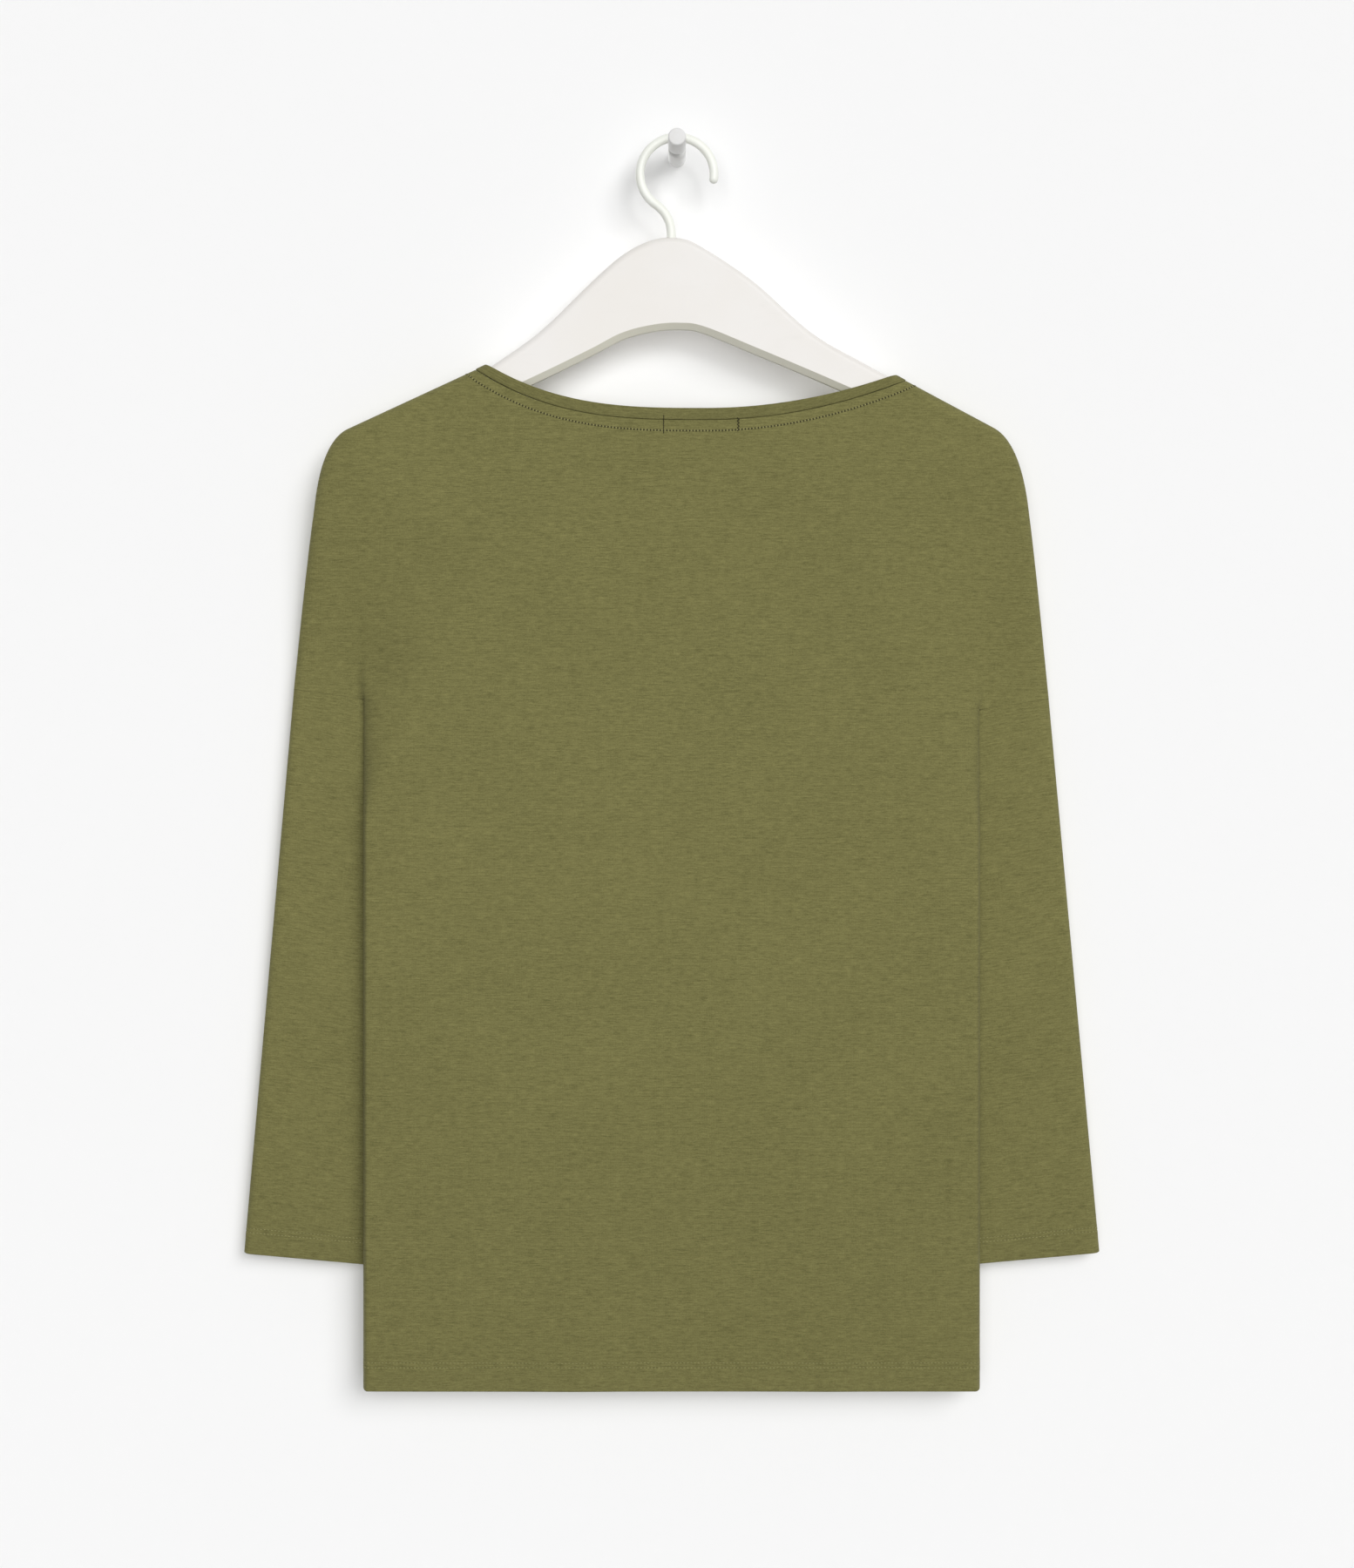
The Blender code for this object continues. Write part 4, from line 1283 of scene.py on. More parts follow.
def jersey_material(name, colour, streak_height):
    """Matt jersey, with painted shade that deepens its tone towards the hem and the cuffs, where the
    light falls off. The pattern follows the flat cloth's own map, in metres."""
    material, n, shader = new_material(name)
    cloth = n.add("ShaderNodeUVMap", uv_map="flat_cloth")
    knit = n.add("ShaderNodeGroup")
    knit.node_tree = slub_group()
    n.join(cloth.outputs[0], knit.inputs["Cloth"])
    knit.inputs["Streak Height"].default_value = streak_height
    shade = knit.outputs["Shade"]
    dark = toned(colour, 0.72)
    light = toned(colour, 1.28, 1.27, 1.32)
    upper = n.mix(shade, dark, light)
    # lower: the same colours with painted shade laid on, for the light falling off low down
    lower = n.mix(shade, toned(dark, PAINTED_SHADE_LOW), toned(light, PAINTED_SHADE_LOW))
    place = n.add("ShaderNodeSeparateXYZ")
    n.join(n.add("ShaderNodeTexCoord").outputs["Object"], place.inputs[0])
    # low: how far the painted shade has come in, by height, from where it starts to where it is full
    low = n.remap(place.outputs["Z"], PAINTED_SHADE_STARTS_Z, PAINTED_SHADE_FULL_Z, 0.0, 1.0)
    n.join(n.mix(low, upper, lower), shader.inputs["Base Color"])
    n.join(n.remap(shade, 0.0, 1.0, 0.93, 0.82), shader.inputs["Roughness"])
    add_bump(n, shader, knit.outputs["Height"], 0.35, 0.00022)
    shader.inputs["Specular IOR Level"].default_value = 0.22
    shader.inputs["Sheen Weight"].default_value = 0.10
    shader.inputs["Sheen Roughness"].default_value = 0.55
    shader.inputs["Sheen Tint"].default_value = (0.80, 0.78, 0.52, 1.0)
    return material


def handled_group():
    """The slight unevenness of a moulded or painted surface: clouding, fine grain and scuffs."""
    if "handled_surface" in bpy.data.node_groups:
        return bpy.data.node_groups["handled_surface"]
    group = bpy.data.node_groups.new("handled_surface", "ShaderNodeTree")
    group_sockets(
        group,
        [
            ("Place", "NodeSocketVector", None),
            ("Cloud Scale", "NodeSocketFloat", 18.0),
            ("Grain Scale", "NodeSocketFloat", 900.0),
        ],
        [
            ("Cloud", "NodeSocketFloat"),
            ("Scuffs", "NodeSocketFloat"),
            ("Height", "NodeSocketFloat"),
        ],
    )
    n = Nodes(group)
    given = n.add("NodeGroupInput").outputs
    put = n.add("NodeGroupOutput").inputs
    cloud = n.noise(given["Place"], given["Cloud Scale"], 3.0, 0.5)
    grain = n.noise(given["Place"], given["Grain Scale"], 2.0, 0.6)
    stretched = n.scaled(given["Place"], (1.0, 4.0, 7.0))
    scuffs = n.noise(stretched, 42.0, 4.0, 0.65)
    n.join(n.remap(cloud, 0.3, 0.7, 0.0, 1.0), put["Cloud"])
    n.join(n.remap(scuffs, 0.58, 0.78, 0.0, 1.0), put["Scuffs"])
    n.join(n.math("MULTIPLY_ADD", grain, 0.25, cloud), put["Height"])
    return group


def smooth_material(name, colour, finish):
    """Satin plastic or paint: slightly clouded, with a few duller scuffs and fine grain."""
    material, n, shader = new_material(name)
    place = n.add("ShaderNodeTexCoord")
    skin = n.add("ShaderNodeGroup")
    skin.node_tree = handled_group()
    n.join(place.outputs["Object"], skin.inputs["Place"])
    skin.inputs["Cloud Scale"].default_value = finish.cloud_scale
    warm = toned(colour, 0.975, 0.965, 0.945)
    dull = toned(colour, 0.95, 0.945, 0.93)
    clouded = n.mix(skin.outputs["Cloud"], toned(colour, 1.0), warm)
    share = n.math("MULTIPLY", skin.outputs["Scuffs"], 0.35)
    n.join(n.mix(share, clouded, dull), shader.inputs["Base Color"])
    duller = min(finish.roughness + 0.18, 1.0)
    rough = n.remap(skin.outputs["Scuffs"], 0.0, 1.0, finish.roughness, duller)
    n.join(rough, shader.inputs["Roughness"])
    add_bump(n, shader, skin.outputs["Height"], finish.uneven, 0.0004)
    shader.inputs["Specular IOR Level"].default_value = 0.4
    return material


def thread_material(name, colour):
    """Spun thread: lighter and darker fibres, and a fine fuzz."""
    material, n, shader = new_material(name)
    place = n.add("ShaderNodeTexCoord")
    fuzz = n.noise(place.outputs["Object"], 2600.0, 2.0, 0.6)
    fibres = n.mix(n.remap(fuzz, 0.35, 0.65, 0.0, 1.0), toned(colour, 0.72), toned(colour, 1.25))
    n.join(fibres, shader.inputs["Base Color"])
    shader.inputs["Roughness"].default_value = 0.75
    shader.inputs["Specular IOR Level"].default_value = 0.25
    add_bump(n, shader, fuzz, 0.3, 0.00008)
    return material


def stage_material(name, colour):
    """A pale matt surface that shows only from its front and doesn't hold back light from behind."""
    material, n, shader = new_material(name)
    shader.inputs["Roughness"].default_value = 0.95
    shader.inputs["Specular IOR Level"].default_value = 0.0
    place = n.add("ShaderNodeTexCoord")
    grain = n.noise(place.outputs["Object"], 6.0, 3.0, 0.5)
    mottled = n.mix(n.remap(grain, 0.3, 0.7, 0.0, 1.0), toned(colour, 1.0), toned(colour, 0.997))
    n.join(mottled, shader.inputs["Base Color"])
    clear = n.add("ShaderNodeBsdfTransparent")
    behind = n.add("ShaderNodeNewGeometry").outputs["Backfacing"]
    shadow = n.add("ShaderNodeLightPath").outputs["Is Shadow Ray"]
    mixed = n.add("ShaderNodeMixShader")
    n.join(n.math("MAXIMUM", behind, shadow), mixed.inputs[0])
    n.join(shader.outputs[0], mixed.inputs[1])
    n.join(clear.outputs[0], mixed.inputs[2])
    target = next(node for node in material.node_tree.nodes if node.type == "OUTPUT_MATERIAL")
    n.join(mixed.outputs[0], target.inputs["Surface"])
    return material


def named_material(name, make, *values):
    """A material made once and then shared by name."""
    return bpy.data.materials.get(name) or make(name, *values)


# The hanger, the hook and the peg


def smooth_run(points, steps):
    """Points of a smooth curve through the given ones, steps to each stretch."""
    run = []
    for i in range(len(points) - 1):
        before = points[max(i - 1, 0)]
        after = points[min(i + 2, len(points) - 1)]
        for step in range(steps):
            t = step / steps
            run.append(
                tuple(
                    b
                    + 0.5 * t * (c - a)
                    + t * t * (a - 2.5 * b + 2.0 * c - 0.5 * d)
                    + t * t * t * (-0.5 * a + 1.5 * b - 1.5 * c + 0.5 * d)
                    for a, b, c, d in zip(before, points[i], points[i + 1], after)
                )
            )
    return run + [points[-1]]


def arm_stations(side):
    """The hanger's top and bottom edge along one shoulder, inside the garment."""
    run = Vector(side.shoulder) - Vector(side.neck)
    stations = []
    for share in ARM_SHARES:
        x, z = Vector(side.neck) + run * share
        out = (share - ARM_SHARES[0]) / (ARM_SHARES[-1] - ARM_SHARES[0])
        arm = between(ARM_HEIGHT_AT_NECK, ARM_HEIGHT_AT_TIP, out)
        stations.append(HangerStation(x, z - HANGER_DROP, z - HANGER_DROP - arm))
    return stations


def hanger_outline():
    """(x, z) round the hanger: along the top, round one tip, back along the bottom, round the other."""
    left, right = SIDES
    stations = arm_stations(left)[::-1] + list(HANGER_MIDDLE) + arm_stations(right)
    top = smooth_run([(s.x, s.top) for s in stations], ARM_STRETCH_STEPS)
    low = smooth_run([(s.x, s.low) for s in stations], ARM_STRETCH_STEPS)
    ends = []
    for station, side in ((stations[-1], right), (stations[0], left)):
        middle = (station.top + station.low) / 2.0
        half = (station.top - station.low) / 2.0
        turns = ARM_TIP_ANGLES if side is right else ARM_TIP_ANGLES[::-1]
        ends.append(
            [
                (
                    station.x + side.sign * ARM_TIP_INSET * math.cos(math.radians(a)),
                    middle + half * math.sin(math.radians(a)),
                )
                for a in turns
            ]
        )
    return top + ends[0] + low[::-1] + ends[1]


def hanger_solid():
    """The hanger's outline as a thick plate: rounded along the top, chamfered along the bottom."""
    work = bmesh.new()
    corners = [work.verts.new((x, -HANGER_HALF, z)) for x, z in hanger_outline()]
    face = work.faces.new(corners)
    grown = bmesh.ops.extrude_face_region(work, geom=[face])["geom"]
    moved = [item for item in grown if isinstance(item, bmesh.types.BMVert)]
    bmesh.ops.translate(work, verts=moved, vec=(0.0, 2.0 * HANGER_HALF, 0.0))
    bmesh.ops.recalc_face_normals(work, faces=work.faces)

    def rims(want_low):
        chosen = []
        for edge in work.edges:
            if abs(edge.verts[0].co.y - edge.verts[1].co.y) > HANGER_HALF:
                continue
            sides = [f for f in edge.link_faces if abs(f.normal.y) < 0.5]
            if len(sides) == 1 and len(edge.link_faces) == 2:
                if (sides[0].normal.z < LOW_EDGE_NORMAL_Z) == want_low:
                    chosen.append(edge)
        return chosen

    for want_low, offset, segments in (
        (True, HANGER_LOW_BEVEL, 1),
        (False, HANGER_TOP_BEVEL, HANGER_TOP_SEGMENTS),
    ):
        bmesh.ops.bevel(
            work,
            geom=rims(want_low),
            offset=offset,
            affect="EDGES",
            segments=segments,
            profile=0.5,
            material=-1,
        )
    bmesh.ops.recalc_face_normals(work, faces=work.faces)
    for face in [f for f in work.faces if len(f.verts) > HANGER_FACE_CORNERS]:
        bmesh.ops.inset_region(work, faces=[face], thickness=HANGER_FACE_INSET, depth=0.0)
    return work


def cut_socket(piece):
    """Cuts the blind hole that the hook's stem sits in, and leaves no modifier behind."""
    work = bmesh.new()
    bmesh.ops.create_cone(
        work,
        cap_ends=True,
        segments=SOCKET_SIDES,
        radius1=SOCKET_RADIUS,
        radius2=SOCKET_RADIUS,
        depth=SOCKET_DEPTH,
        matrix=Matrix.Translation((STEM_X, 0.0, STEM_FOOT_Z - SEAM_GAP + SOCKET_DEPTH / 2.0)),
    )
    mesh = mesh_of("socket", work)
    cutter = linked("socket", mesh)
    cut = piece.modifiers.new("socket", "BOOLEAN")
    cut.operation = "DIFFERENCE"
    cut.object = cutter
    bpy.context.view_layer.update()
    done = bpy.data.meshes.new_from_object(
        piece.evaluated_get(bpy.context.evaluated_depsgraph_get())
    )
    piece.modifiers.remove(cut)
    old = piece.data
    if len(done.polygons) <= len(old.polygons):
        raise RuntimeError("the hook's socket was not cut into the hanger")
    piece.data = done
    bpy.data.meshes.remove(old)
    bpy.data.objects.remove(cutter)
    bpy.data.meshes.remove(mesh)
    done.name = piece.name


def hook_route():
    """The wire's centre line, from its tip over the peg and down into the hanger."""
    centre_z = WIRE_RADIUS - HOOK_RADIUS
    points = []
    for i in range(HOOK_STEPS + 1):
        angle = math.radians(between(HOOK_TIP_ANGLE, HOOK_NECK_ANGLE, i / HOOK_STEPS))
        points.append((HOOK_RADIUS * math.cos(angle), centre_z + HOOK_RADIUS * math.sin(angle)))
    start = points[-1]
    leave = math.radians(HOOK_NECK_ANGLE)
    first = (
        start[0] - STEM_BEND * math.sin(leave),
        start[1] + STEM_BEND * math.cos(leave),
    )
    end = (STEM_X, STEM_TOP_Z)
    second = (STEM_X, STEM_TOP_Z + STEM_BEND)
    for i in range(1, STEM_STEPS + 1):
        t = i / STEM_STEPS
        r = 1.0 - t
        points.append(
            tuple(
                r**3 * a + 3 * r * r * t * b + 3 * r * t * t * c + t**3 * d
                for a, b, c, d in zip(start, first, second, end)
            )
        )
    points.append((STEM_X, STEM_FOOT_Z))
    return points


def hook_tube():
    """Rings of a grid wrapped round the wire's centre line, with a rounded nose."""
    route = [Vector((x, 0.0, z)) for x, z in hook_route()]
    back = (route[0] - route[1]).normalized()
    nose = []
    for angle in HOOK_NOSE_ANGLES:
        turn = math.radians(angle)
        reach = WIRE_RADIUS * HOOK_NOSE_SHARE * math.sin(turn)
        nose.append((route[0] + back * reach, math.cos(turn)))
    stations = nose + [(point, 1.0) for point in route]
    places = []
    for number, (point, size) in enumerate(stations):
        before = stations[max(number - 1, 0)][0]
        after = stations[min(number + 1, len(stations) - 1)][0]
        along = (after - before).normalized()
        aside = along.cross(Vector((0.0, 1.0, 0.0))).normalized()
        ring = []
        for step in range(WIRE_SIDES + 1):
            turn = math.tau * step / WIRE_SIDES
            out = aside * math.cos(turn) + Vector((0.0, 1.0, 0.0)) * math.sin(turn)
            ring.append(point + out * WIRE_RADIUS * size)
        places.append(ring)
    work = cloth_sheet(places, lambda column, row: row / WIRE_SIDES)
    ends = [edge for edge in work.edges if edge.is_boundary]
    bmesh.ops.holes_fill(work, edges=ends, sides=WIRE_SIDES)
    bmesh.ops.recalc_face_normals(work, faces=work.faces)
    return work


def peg_profile():
    """(radius, depth) along the peg from the wall to its tip."""
    foot = [(0.0, PEG_WALL_Y), (PEG_RADIUS, PEG_WALL_Y)]
    rounded_off = PEG_ROUND_SHARE * PEG_ROUNDING
    near_wall = [
        (PEG_RADIUS, GROOVE_HALF + PEG_ROUNDING),
        (PEG_RADIUS - rounded_off, GROOVE_HALF + rounded_off),
        (PEG_RADIUS - PEG_ROUNDING, GROOVE_HALF),
        (PEG_NECK_RADIUS, GROOVE_HALF),
    ]
    groove = near_wall + [(radius, -depth) for radius, depth in reversed(near_wall)]
    tip = []
    for angle in PEG_TIP_ANGLES:
        turn = math.radians(angle)
        tip.append(
            (
                PEG_RADIUS - PEG_ROUNDING * (1.0 - math.cos(turn)),
                PEG_TIP_Y + PEG_ROUNDING * (1.0 - math.sin(turn)),
            )
        )
    return foot + groove + tip + [(0.0, PEG_TIP_Y)]


def peg_solid():
    """The profile turned round the peg's axis."""
    work = bmesh.new()
    axis_z = -SEAM_GAP - PEG_NECK_RADIUS
    corners = [work.verts.new((radius, y, axis_z)) for radius, y in peg_profile()]
    edges = [work.edges.new(pair) for pair in zip(corners, corners[1:])]
    bmesh.ops.spin(
        work,
        geom=corners + edges,
        cent=(0.0, 0.0, axis_z),
        axis=(0.0, 1.0, 0.0),
        angle=math.tau,
        steps=PEG_STEPS,
        use_merge=True,
    )
    bmesh.ops.remove_doubles(work, verts=work.verts, dist=MERGE_DISTANCE)
    bmesh.ops.recalc_face_normals(work, faces=work.faces)
    return work


# The stage


def make_plane(name, size, place, turn, colour):
    """A square of the stage, facing up until it is turned."""
    work = bmesh.new()
    matrix = Matrix.Translation(place) @ turn
    bmesh.ops.create_grid(work, x_segments=1, y_segments=1, size=size, matrix=matrix)
    mesh = mesh_of(name, work)
    mesh.materials.append(named_material(f"matt_{name}_paint", stage_material, tuple(colour)))
    linked(name, mesh)


def make_lamp(name, towards, strength, size):
    """A sun that shines towards a direction and looks as wide as size from the garment."""
    light = bpy.data.lights.new(name, "SUN")
    light.energy = strength
    light.angle = size
    linked(name, light).rotation_euler = Vector(towards).to_track_quat("-Z", "Y").to_euler()


def make_sky(strength):
    """Even light from all round, and a plain pale backdrop where the camera sees past the wall."""
    world = bpy.data.worlds.new("soft_light")
    world.use_nodes = True
    n = Nodes(world.node_tree)
    sky = world.node_tree.nodes["Background"]
    sky.inputs["Color"].default_value = (1.0, 1.0, 1.0, 1.0)
    sky.inputs["Strength"].default_value = strength
    seen = n.add("ShaderNodeBackground")
    seen.inputs["Color"].default_value = SEEN_SKY
    mixed = n.add("ShaderNodeMixShader")
    n.join(n.add("ShaderNodeLightPath").outputs["Is Camera Ray"], mixed.inputs[0])
    n.join(sky.outputs[0], mixed.inputs[1])
    n.join(seen.outputs[0], mixed.inputs[2])
    n.join(mixed.outputs[0], world.node_tree.nodes["World Output"].inputs["Surface"])
    bpy.context.scene.world = world


def make_camera():
    """The photograph's view: level, square to the wall."""
    camera = bpy.data.cameras.new("camera")
    camera.lens = CAMERA_LENS
    camera.sensor_width = CAMERA_SENSOR
    view = linked("camera", camera)
    view.location = CAMERA_PLACE
    view.rotation_euler = (math.pi / 2.0, 0.0, 0.0)
    bpy.context.scene.camera = view


# What a user would change


class TopSettings(bpy.types.PropertyGroup):
    """Sizes and colours of the jersey top."""

    cloth_wall: FloatProperty(
        name="Cloth thickness",
        description="Thickness of one layer of jersey",
        default=0.0008,
        unit="LENGTH",
    )
    hem_depth: FloatProperty(
        name="Hem depth",
        description="From the body's lower edge up to the top row of stitches",
        default=0.018,
        unit="LENGTH",
    )
    hem_rows_apart: FloatProperty(
        name="Hem rows apart",
        description="Between the two rows of stitches of the hem",
        default=0.0028,
        unit="LENGTH",
    )
    cuff_depth: FloatProperty(
        name="Cuff depth",
        description="From a sleeve's lower edge up to the top row of stitches",
        default=0.0162,
        unit="LENGTH",
    )
    cuff_rows_apart: FloatProperty(
        name="Cuff rows apart",
        description="Between the two rows of stitches of a cuff",
        default=0.0023,
        unit="LENGTH",
    )
    hem_pitch: FloatProperty(
        name="Hem stitch length",
        description="From one stitch of the hem or a cuff to the next",
        default=0.0023,
        unit="LENGTH",
    )
    neck_pitch: FloatProperty(
        name="Neck stitch length",
        description="From one stitch of the row under the neckband to the next",
        default=0.0021,
        unit="LENGTH",
    )
    hem_stitch: FloatProperty(
        name="Hem stitch width",
        description="Width of one stitch of the hem and the cuffs",
        default=0.00062,
        unit="LENGTH",
    )
    neck_stitch: FloatProperty(
        name="Neck stitch width",
        description="Width of one stitch of the row under the neckband",
        default=0.0010,
        unit="LENGTH",
    )
    neck_drop: FloatProperty(
        name="Neck row drop",
        description="From the neckband's seam down to the row of stitches",
        default=0.0068,
        unit="LENGTH",
    )
    waves: FloatProperty(
        name="Waves",
        description="How far the cloth swells out of its plane",
        default=0.0008,
        unit="LENGTH",
    )
    jersey: FloatVectorProperty(
        name="Jersey",
        description="Colour of the body and the sleeves",
        default=(0.172, 0.163, 0.0555),
        subtype="COLOR",
    )
    band: FloatVectorProperty(
        name="Neckband",
        description="Colour of the neckband",
        default=(0.154, 0.146, 0.0500),
        subtype="COLOR",
    )
    thread: FloatVectorProperty(
        name="Thread",
        description="Colour of the sewing thread",
        default=(0.290, 0.274, 0.118),
        subtype="COLOR",
    )
    # The dark colour of the painted shade at the needle holes between the stitches; the label tacks are
    # drawn in it too
    needle_hole: FloatVectorProperty(
        name="Needle holes",
        description="Colour between the stitches, where the thread pulls the cloth in",
        default=(0.050, 0.046, 0.018),
        subtype="COLOR",
    )


class HangerSettings(bpy.types.PropertyGroup):
    """Colours of the hanger, the hook and the peg."""

    shell: FloatVectorProperty(
        name="Hanger",
        description="Colour of the moulded hanger",
        default=(0.806, 0.785, 0.758),
        subtype="COLOR",
    )
    # Painted reflection of the olive cloth, with slight painted shade: yellower and darker than the
    # shell, on the faces along the hanger's bottom that face down
    low_edge: FloatVectorProperty(
        name="Hanger's low edge",
        description="Colour of the chamfer and the underside along the hanger's bottom",
        default=(0.770, 0.755, 0.655),
        subtype="COLOR",
    )
    wire: FloatVectorProperty(
        name="Hook",
        description="Colour of the coated hook",
        default=(0.875, 0.893, 0.835),
        subtype="COLOR",
    )
    peg: FloatVectorProperty(
        name="Peg",
        description="Colour of the painted peg",
        default=(0.744, 0.744, 0.742),
        subtype="COLOR",
    )


class StageSettings(bpy.types.PropertyGroup):
    """The wall, the floor and the light."""

    wall: FloatVectorProperty(
        name="Wall",
        description="Colour of the wall",
        default=(0.90, 0.90, 0.90),
        subtype="COLOR",
    )
    floor: FloatVectorProperty(
        name="Floor",
        description="Colour of the floor",
        default=(0.30, 0.30, 0.30),
        subtype="COLOR",
    )
    sky: FloatProperty(
        name="Even light",
        description="Strength of the even light from all round",
        default=0.13,
    )
    broad: FloatProperty(
        name="Broad light",
        description="Strength of the very wide light from the front, slightly above and to the right",
        default=1.75,
    )
    broad_size: FloatProperty(
        name="Broad light size",
        description="How wide the broad light looks from the garment",
        default=0.90,
        subtype="ANGLE",
    )
    key: FloatProperty(
        name="Key light",
        description="Strength of the narrower light from the upper right",
        default=1.29,
    )
    key_size: FloatProperty(
        name="Key light size",
        description="How wide the key light looks from the garment",
        default=0.55,
        subtype="ANGLE",
    )
    behind: FloatProperty(
        name="Light behind",
        description="Strength of the light on the side that faces the wall",
        default=0.9,
    )


# Operators


def top_settings():
    return bpy.context.scene.jersey_top


def jersey():
    colour = tuple(top_settings().jersey)
    return named_material("olive_slub_jersey", jersey_material, colour, STREAK_HEIGHT)


def band_jersey():
    colour = tuple(top_settings().band)
    return named_material("olive_band_jersey", jersey_material, colour, BAND_STREAK_HEIGHT)


def thread():
    return named_material("olive_thread", thread_material, tuple(top_settings().thread))


# The dark material of the painted shade between the stitches, also used for the label tacks
def painted_hole_shadows():
    return named_material("needle_hole_shade", thread_material, tuple(top_settings().needle_hole))


class MakeHanger(bpy.types.Operator):
    """The moulded hanger with its rounded edges and the socket for the hook"""

    bl_idname = "jersey_top.make_hanger"
    bl_label = "Hanger"

    def execute(self, context):
        colours = context.scene.jersey_hanger
        # The second material is the painted reflection of the olive cloth and slight painted shade along
        # the hanger's bottom
        material, painted_reflection_material = (
            named_material(name, smooth_material, tuple(colour), MOULDED)
            for name, colour in (
                ("warm_white_moulding", colours.shell),
                ("warm_low_edge", colours.low_edge),
            )
        )
        piece = add_piece("hanger", hanger_solid(), material, "hanger_shell", "hanger_body")
        piece.data.materials.append(painted_reflection_material)
        # Faces that face down take the painted reflection and painted shade colour
        for face in piece.data.polygons:
            face.material_index = 1 if face.normal.z < LOW_EDGE_NORMAL_Z else 0
        cut_socket(piece)
        piece.data.set_sharp_from_angle(angle=math.radians(SHARP_DEGREES))
        return {"FINISHED"}


class MakeHook(bpy.types.Operator):
    """The coated wire hook"""

    bl_idname = "jersey_top.make_hook"
    bl_label = "Hook"

    def execute(self, context):
        colour = tuple(context.scene.jersey_hanger.wire)
        material = named_material("white_wire_coating", smooth_material, colour, COATED)
        add_piece("hook", hook_tube(), material, "hook_wire", "hanger_hook")
        return {"FINISHED"}


class MakePeg(bpy.types.Operator):
    """The turned and painted wall peg"""

    bl_idname = "jersey_top.make_peg"
    bl_label = "Wall peg"

    def execute(self, context):
        colour = tuple(context.scene.jersey_hanger.peg)
        material = named_material("white_peg_paint", smooth_material, colour, PAINTED)
        add_piece("peg", peg_solid(), material, "peg_finish", "wall_peg")
        return {"FINISHED"}


class MakeBack(bpy.types.Operator):
    """The back panel with its turned hem"""

    bl_idname = "jersey_top.make_back"
    bl_label = "Back panel"

    def execute(self, context):
        top = top_settings()
        piece = add_piece("back", back_sheet(top), jersey(), "jersey", "back_panel")
        give_wall(piece, top.cloth_wall)
        return {"FINISHED"}


class MakeFront(bpy.types.Operator):
    """The front panel, folded behind the body at both underarms"""

    bl_idname = "jersey_top.make_front"
    bl_label = "Front panel"

    def execute(self, context):
        top = top_settings()
        piece = add_piece("front", front_sheet(top), jersey(), "jersey", "front_panel")
        give_wall(piece, top.cloth_wall)
        return {"FINISHED"}


class MakeSleeves(bpy.types.Operator):
    """Both sleeves with their turned cuffs"""

    bl_idname = "jersey_top.make_sleeves"
    bl_label = "Sleeves"

    def execute(self, context):
        top = top_settings()
        for side in SIDES:
            name = f"{side.name}_sleeve"
            piece = add_piece(name, sleeve_sheet(side, top), jersey(), "jersey", f"sleeve_{side.name}")
            give_wall(piece, top.cloth_wall)
        return {"FINISHED"}


class MakeNeckband(bpy.types.Operator):
    """The narrow folded band round the neck"""

    bl_idname = "jersey_top.make_neckband"
    bl_label = "Neckband"

    def execute(self, context):
        wall = top_settings().cloth_wall
        piece = add_piece("neck_band", band_sheet(wall), band_jersey(), "band_jersey", "neckband")
        give_wall(piece, wall)
        return {"FINISHED"}


class SewHems(bpy.types.Operator):
    """The twin rows of stitches round the hem and both cuffs"""

    bl_idname = "jersey_top.sew_hems"
    bl_label = "Hem and cuff stitches"

    def execute(self, context):
        top = top_settings()
        wall = top.cloth_wall / 2.0
        size = top.hem_stitch
        works = {"back": bmesh.new(), "front": bmesh.new()}
        trees = {name: cloth_tree(name) for name in works}
        out = away_from(Vector((BODY_MIDDLE_X, 0.0, 0.0)))
        for height in (top.hem_depth, top.hem_depth - top.hem_rows_apart):
            for name, run in hem_runs(height, top.waves).items():
                sew_row(works[name], run, top.hem_pitch, trees[name], out, wall, size)
        for name, work in works.items():
            add_piece(f"{name}_hem_stitches", work, thread(), "jersey")
        for side in SIDES:
            loop = armhole_loop(side)
            length = abs(side.cuff[1] - side.armhole[1])
            tree = cloth_tree(f"{side.name}_sleeve")
            work = bmesh.new()
            for height in (top.cuff_depth, top.cuff_depth - top.cuff_rows_apart):
                down = 1.0 - height / length
                ring = [sleeve_point(side, spot, down, top.waves) for spot in loop]
                out = away_from(sum(ring, Vector()) / len(ring))
                sew_row(work, ring, top.hem_pitch, tree, out, wall, size, closed=True)
            add_piece(f"{side.name}_cuff_stitches", work, thread(), "jersey")
        return {"FINISHED"}


class SewNeck(bpy.types.Operator):
    """The row of stitches under the neckband and the two tacks that hold the label inside"""

    bl_idname = "jersey_top.sew_neck"
    bl_label = "Neck stitches"

    def execute(self, context):
        top = top_settings()
        wall = top.cloth_wall / 2.0
        for name, layer in (("back", -1), ("front", 1)):
            work = bmesh.new()
            holes = bmesh.new()
            run = neck_run(layer, top.neck_drop, wall)
            sew_row(
                work,
                run,
                top.neck_pitch,
                cloth_tree(name),
                over_shoulders(layer),
                wall,
                top.neck_stitch,
                holes=holes,
            )
            add_piece(f"{name}_neck_stitches", work, thread(), "jersey")
            # The dark lozenges between the stitches are painted shade at the needle holes
            add_piece(f"{name}_needle_holes", holes, painted_hole_shadows(), "jersey")
        tacks = bmesh.new()
        for tack in LABEL_TACKS:
            sew_tack(tacks, tack, wall)
        add_piece("label_tacks", tacks, painted_hole_shadows(), "jersey")
        return {"FINISHED"}


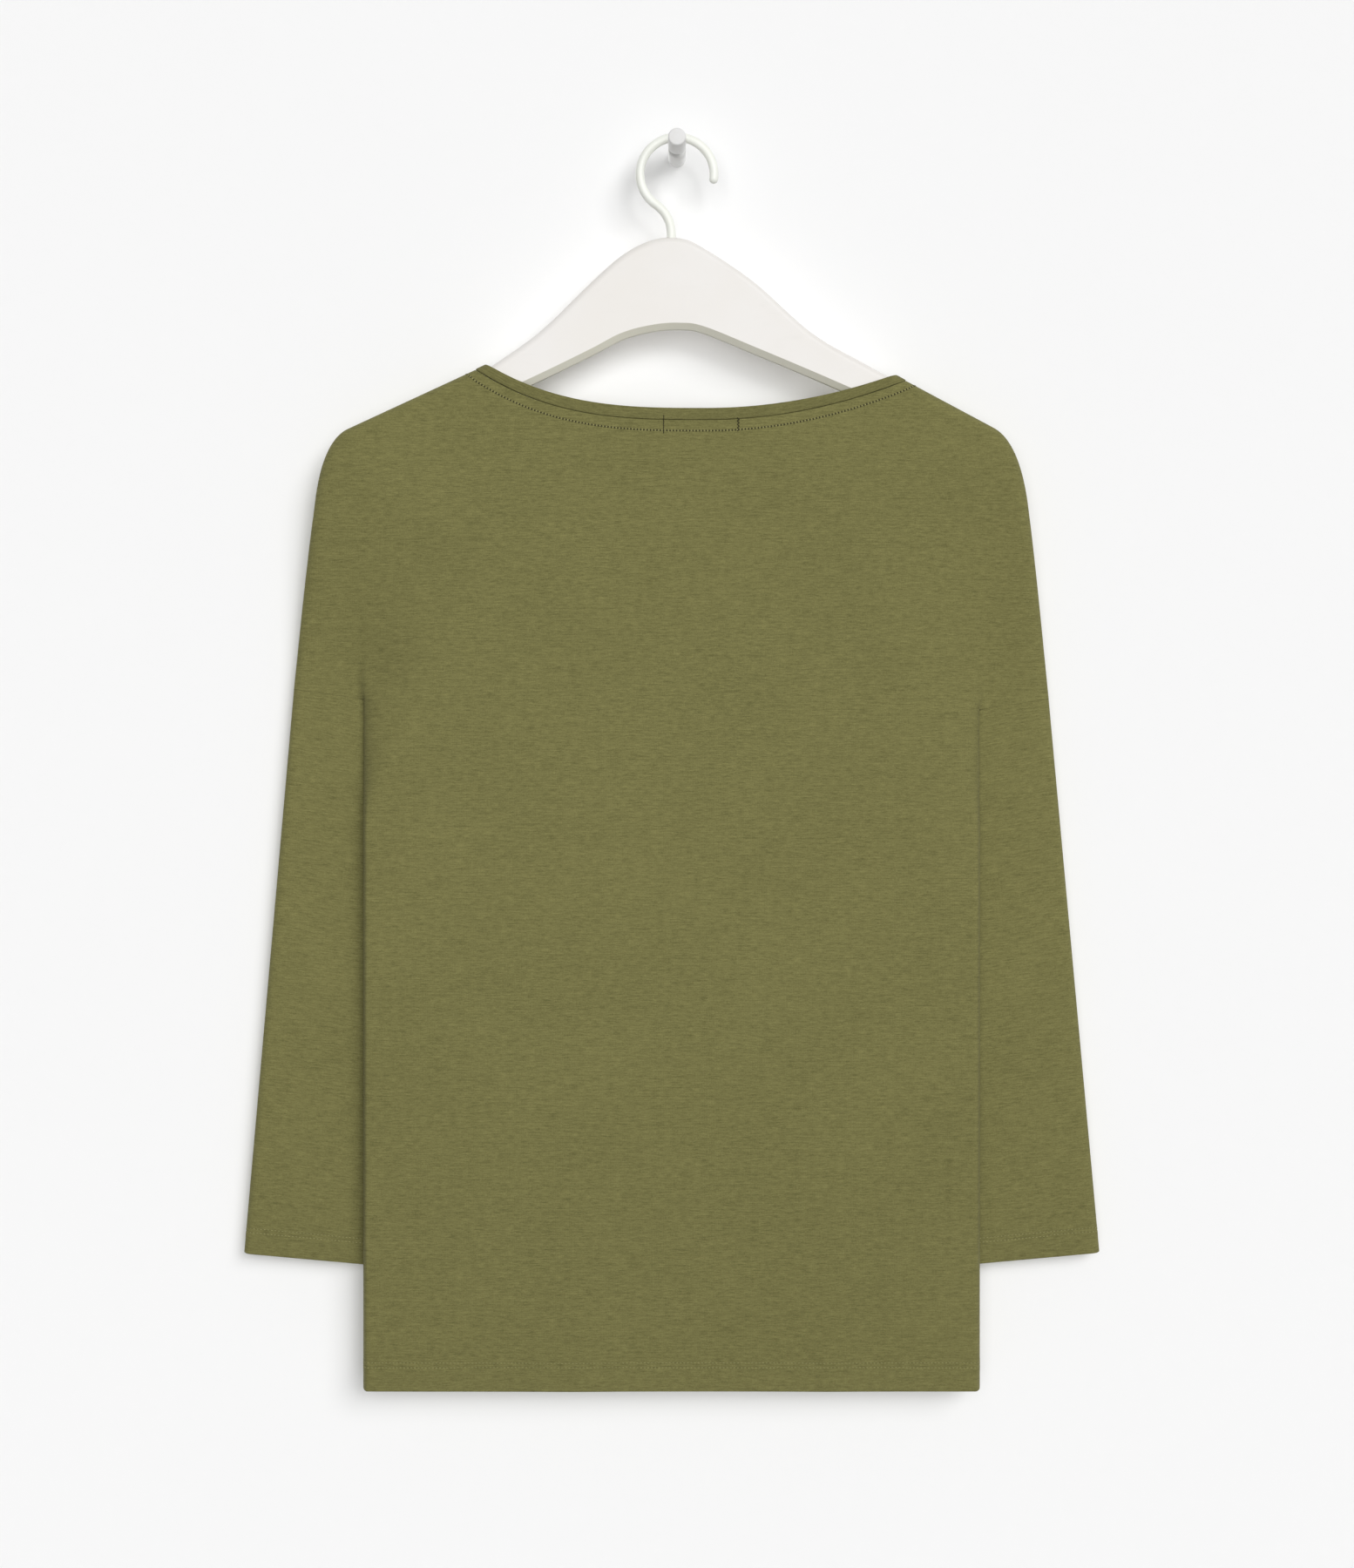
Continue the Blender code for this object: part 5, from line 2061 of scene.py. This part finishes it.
class StateCuts(bpy.types.Operator):
    """Runs over the pieces listed with each flat size in the cut table, and builds nothing"""

    bl_idname = "jersey_top.state_cuts"
    bl_label = "Flat sizes"

    def execute(self, context):
        for cut in CUTS:
            list(cut.with_pieces)
        return {"FINISHED"}


class MakeStage(bpy.types.Operator):
    """The wall, the floor, the light and the camera"""

    bl_idname = "jersey_top.make_stage"
    bl_label = "Stage"

    def execute(self, context):
        stage = context.scene.jersey_stage
        context.scene.view_settings.view_transform = "Standard"
        upright = Matrix.Rotation(math.pi / 2.0, 4, "X")
        wall_place = (0.0, PEG_WALL_Y, WALL_MIDDLE_Z)
        make_plane("wall", WALL_MIDDLE_Z - FLOOR_Z, wall_place, upright, stage.wall)
        make_plane("floor", FLOOR_HALF, (0.0, 0.0, FLOOR_Z), Matrix.Identity(4), stage.floor)
        make_lamp("broad", (-0.04, 1.0, -0.07), stage.broad, stage.broad_size)
        make_lamp("key", (-0.52, 1.0, -0.45), stage.key, stage.key_size)
        make_lamp("behind_left", (0.6, -1.0, -0.45), stage.behind, BEHIND_ANGLE)
        behind_right = stage.behind * BEHIND_RIGHT_SHARE
        make_lamp("behind_right", (-0.5, -1.0, -0.25), behind_right, BEHIND_ANGLE)
        make_sky(stage.sky)
        make_camera()
        return {"FINISHED"}


OPERATORS = (
    MakeHanger,
    MakeHook,
    MakePeg,
    MakeBack,
    MakeFront,
    MakeSleeves,
    MakeNeckband,
    SewHems,
    SewNeck,
    StateCuts,
    MakeStage,
)


class TopPanel(bpy.types.Panel):
    """Lists the pieces in the order in which they are built"""

    bl_idname = "VIEW3D_PT_jersey_top"
    bl_label = "Jersey top on a hanger"
    bl_space_type = "VIEW_3D"
    bl_region_type = "UI"
    bl_category = "Jersey top"

    def draw(self, context):
        for settings in ("jersey_top", "jersey_hanger", "jersey_stage"):
            group = getattr(context.scene, settings)
            column = self.layout.column(align=True)
            for name in group.__annotations__:
                column.prop(group, name)
        for operator in OPERATORS:
            self.layout.operator(operator.bl_idname)


SETTINGS = {
    "jersey_top": TopSettings,
    "jersey_hanger": HangerSettings,
    "jersey_stage": StageSettings,
}


def register():
    for name, settings in SETTINGS.items():
        bpy.utils.register_class(settings)
        setattr(bpy.types.Scene, name, PointerProperty(type=settings))
    for operator in OPERATORS:
        bpy.utils.register_class(operator)
    bpy.utils.register_class(TopPanel)


def unregister():
    bpy.utils.unregister_class(TopPanel)
    for operator in reversed(OPERATORS):
        bpy.utils.unregister_class(operator)
    for name, settings in reversed(SETTINGS.items()):
        delattr(bpy.types.Scene, name)
        bpy.utils.unregister_class(settings)


def main():
    register()
    for operator in OPERATORS:
        group, name = operator.bl_idname.split(".")
        getattr(getattr(bpy.ops, group), name)()


if __name__ == "__main__":
    main()
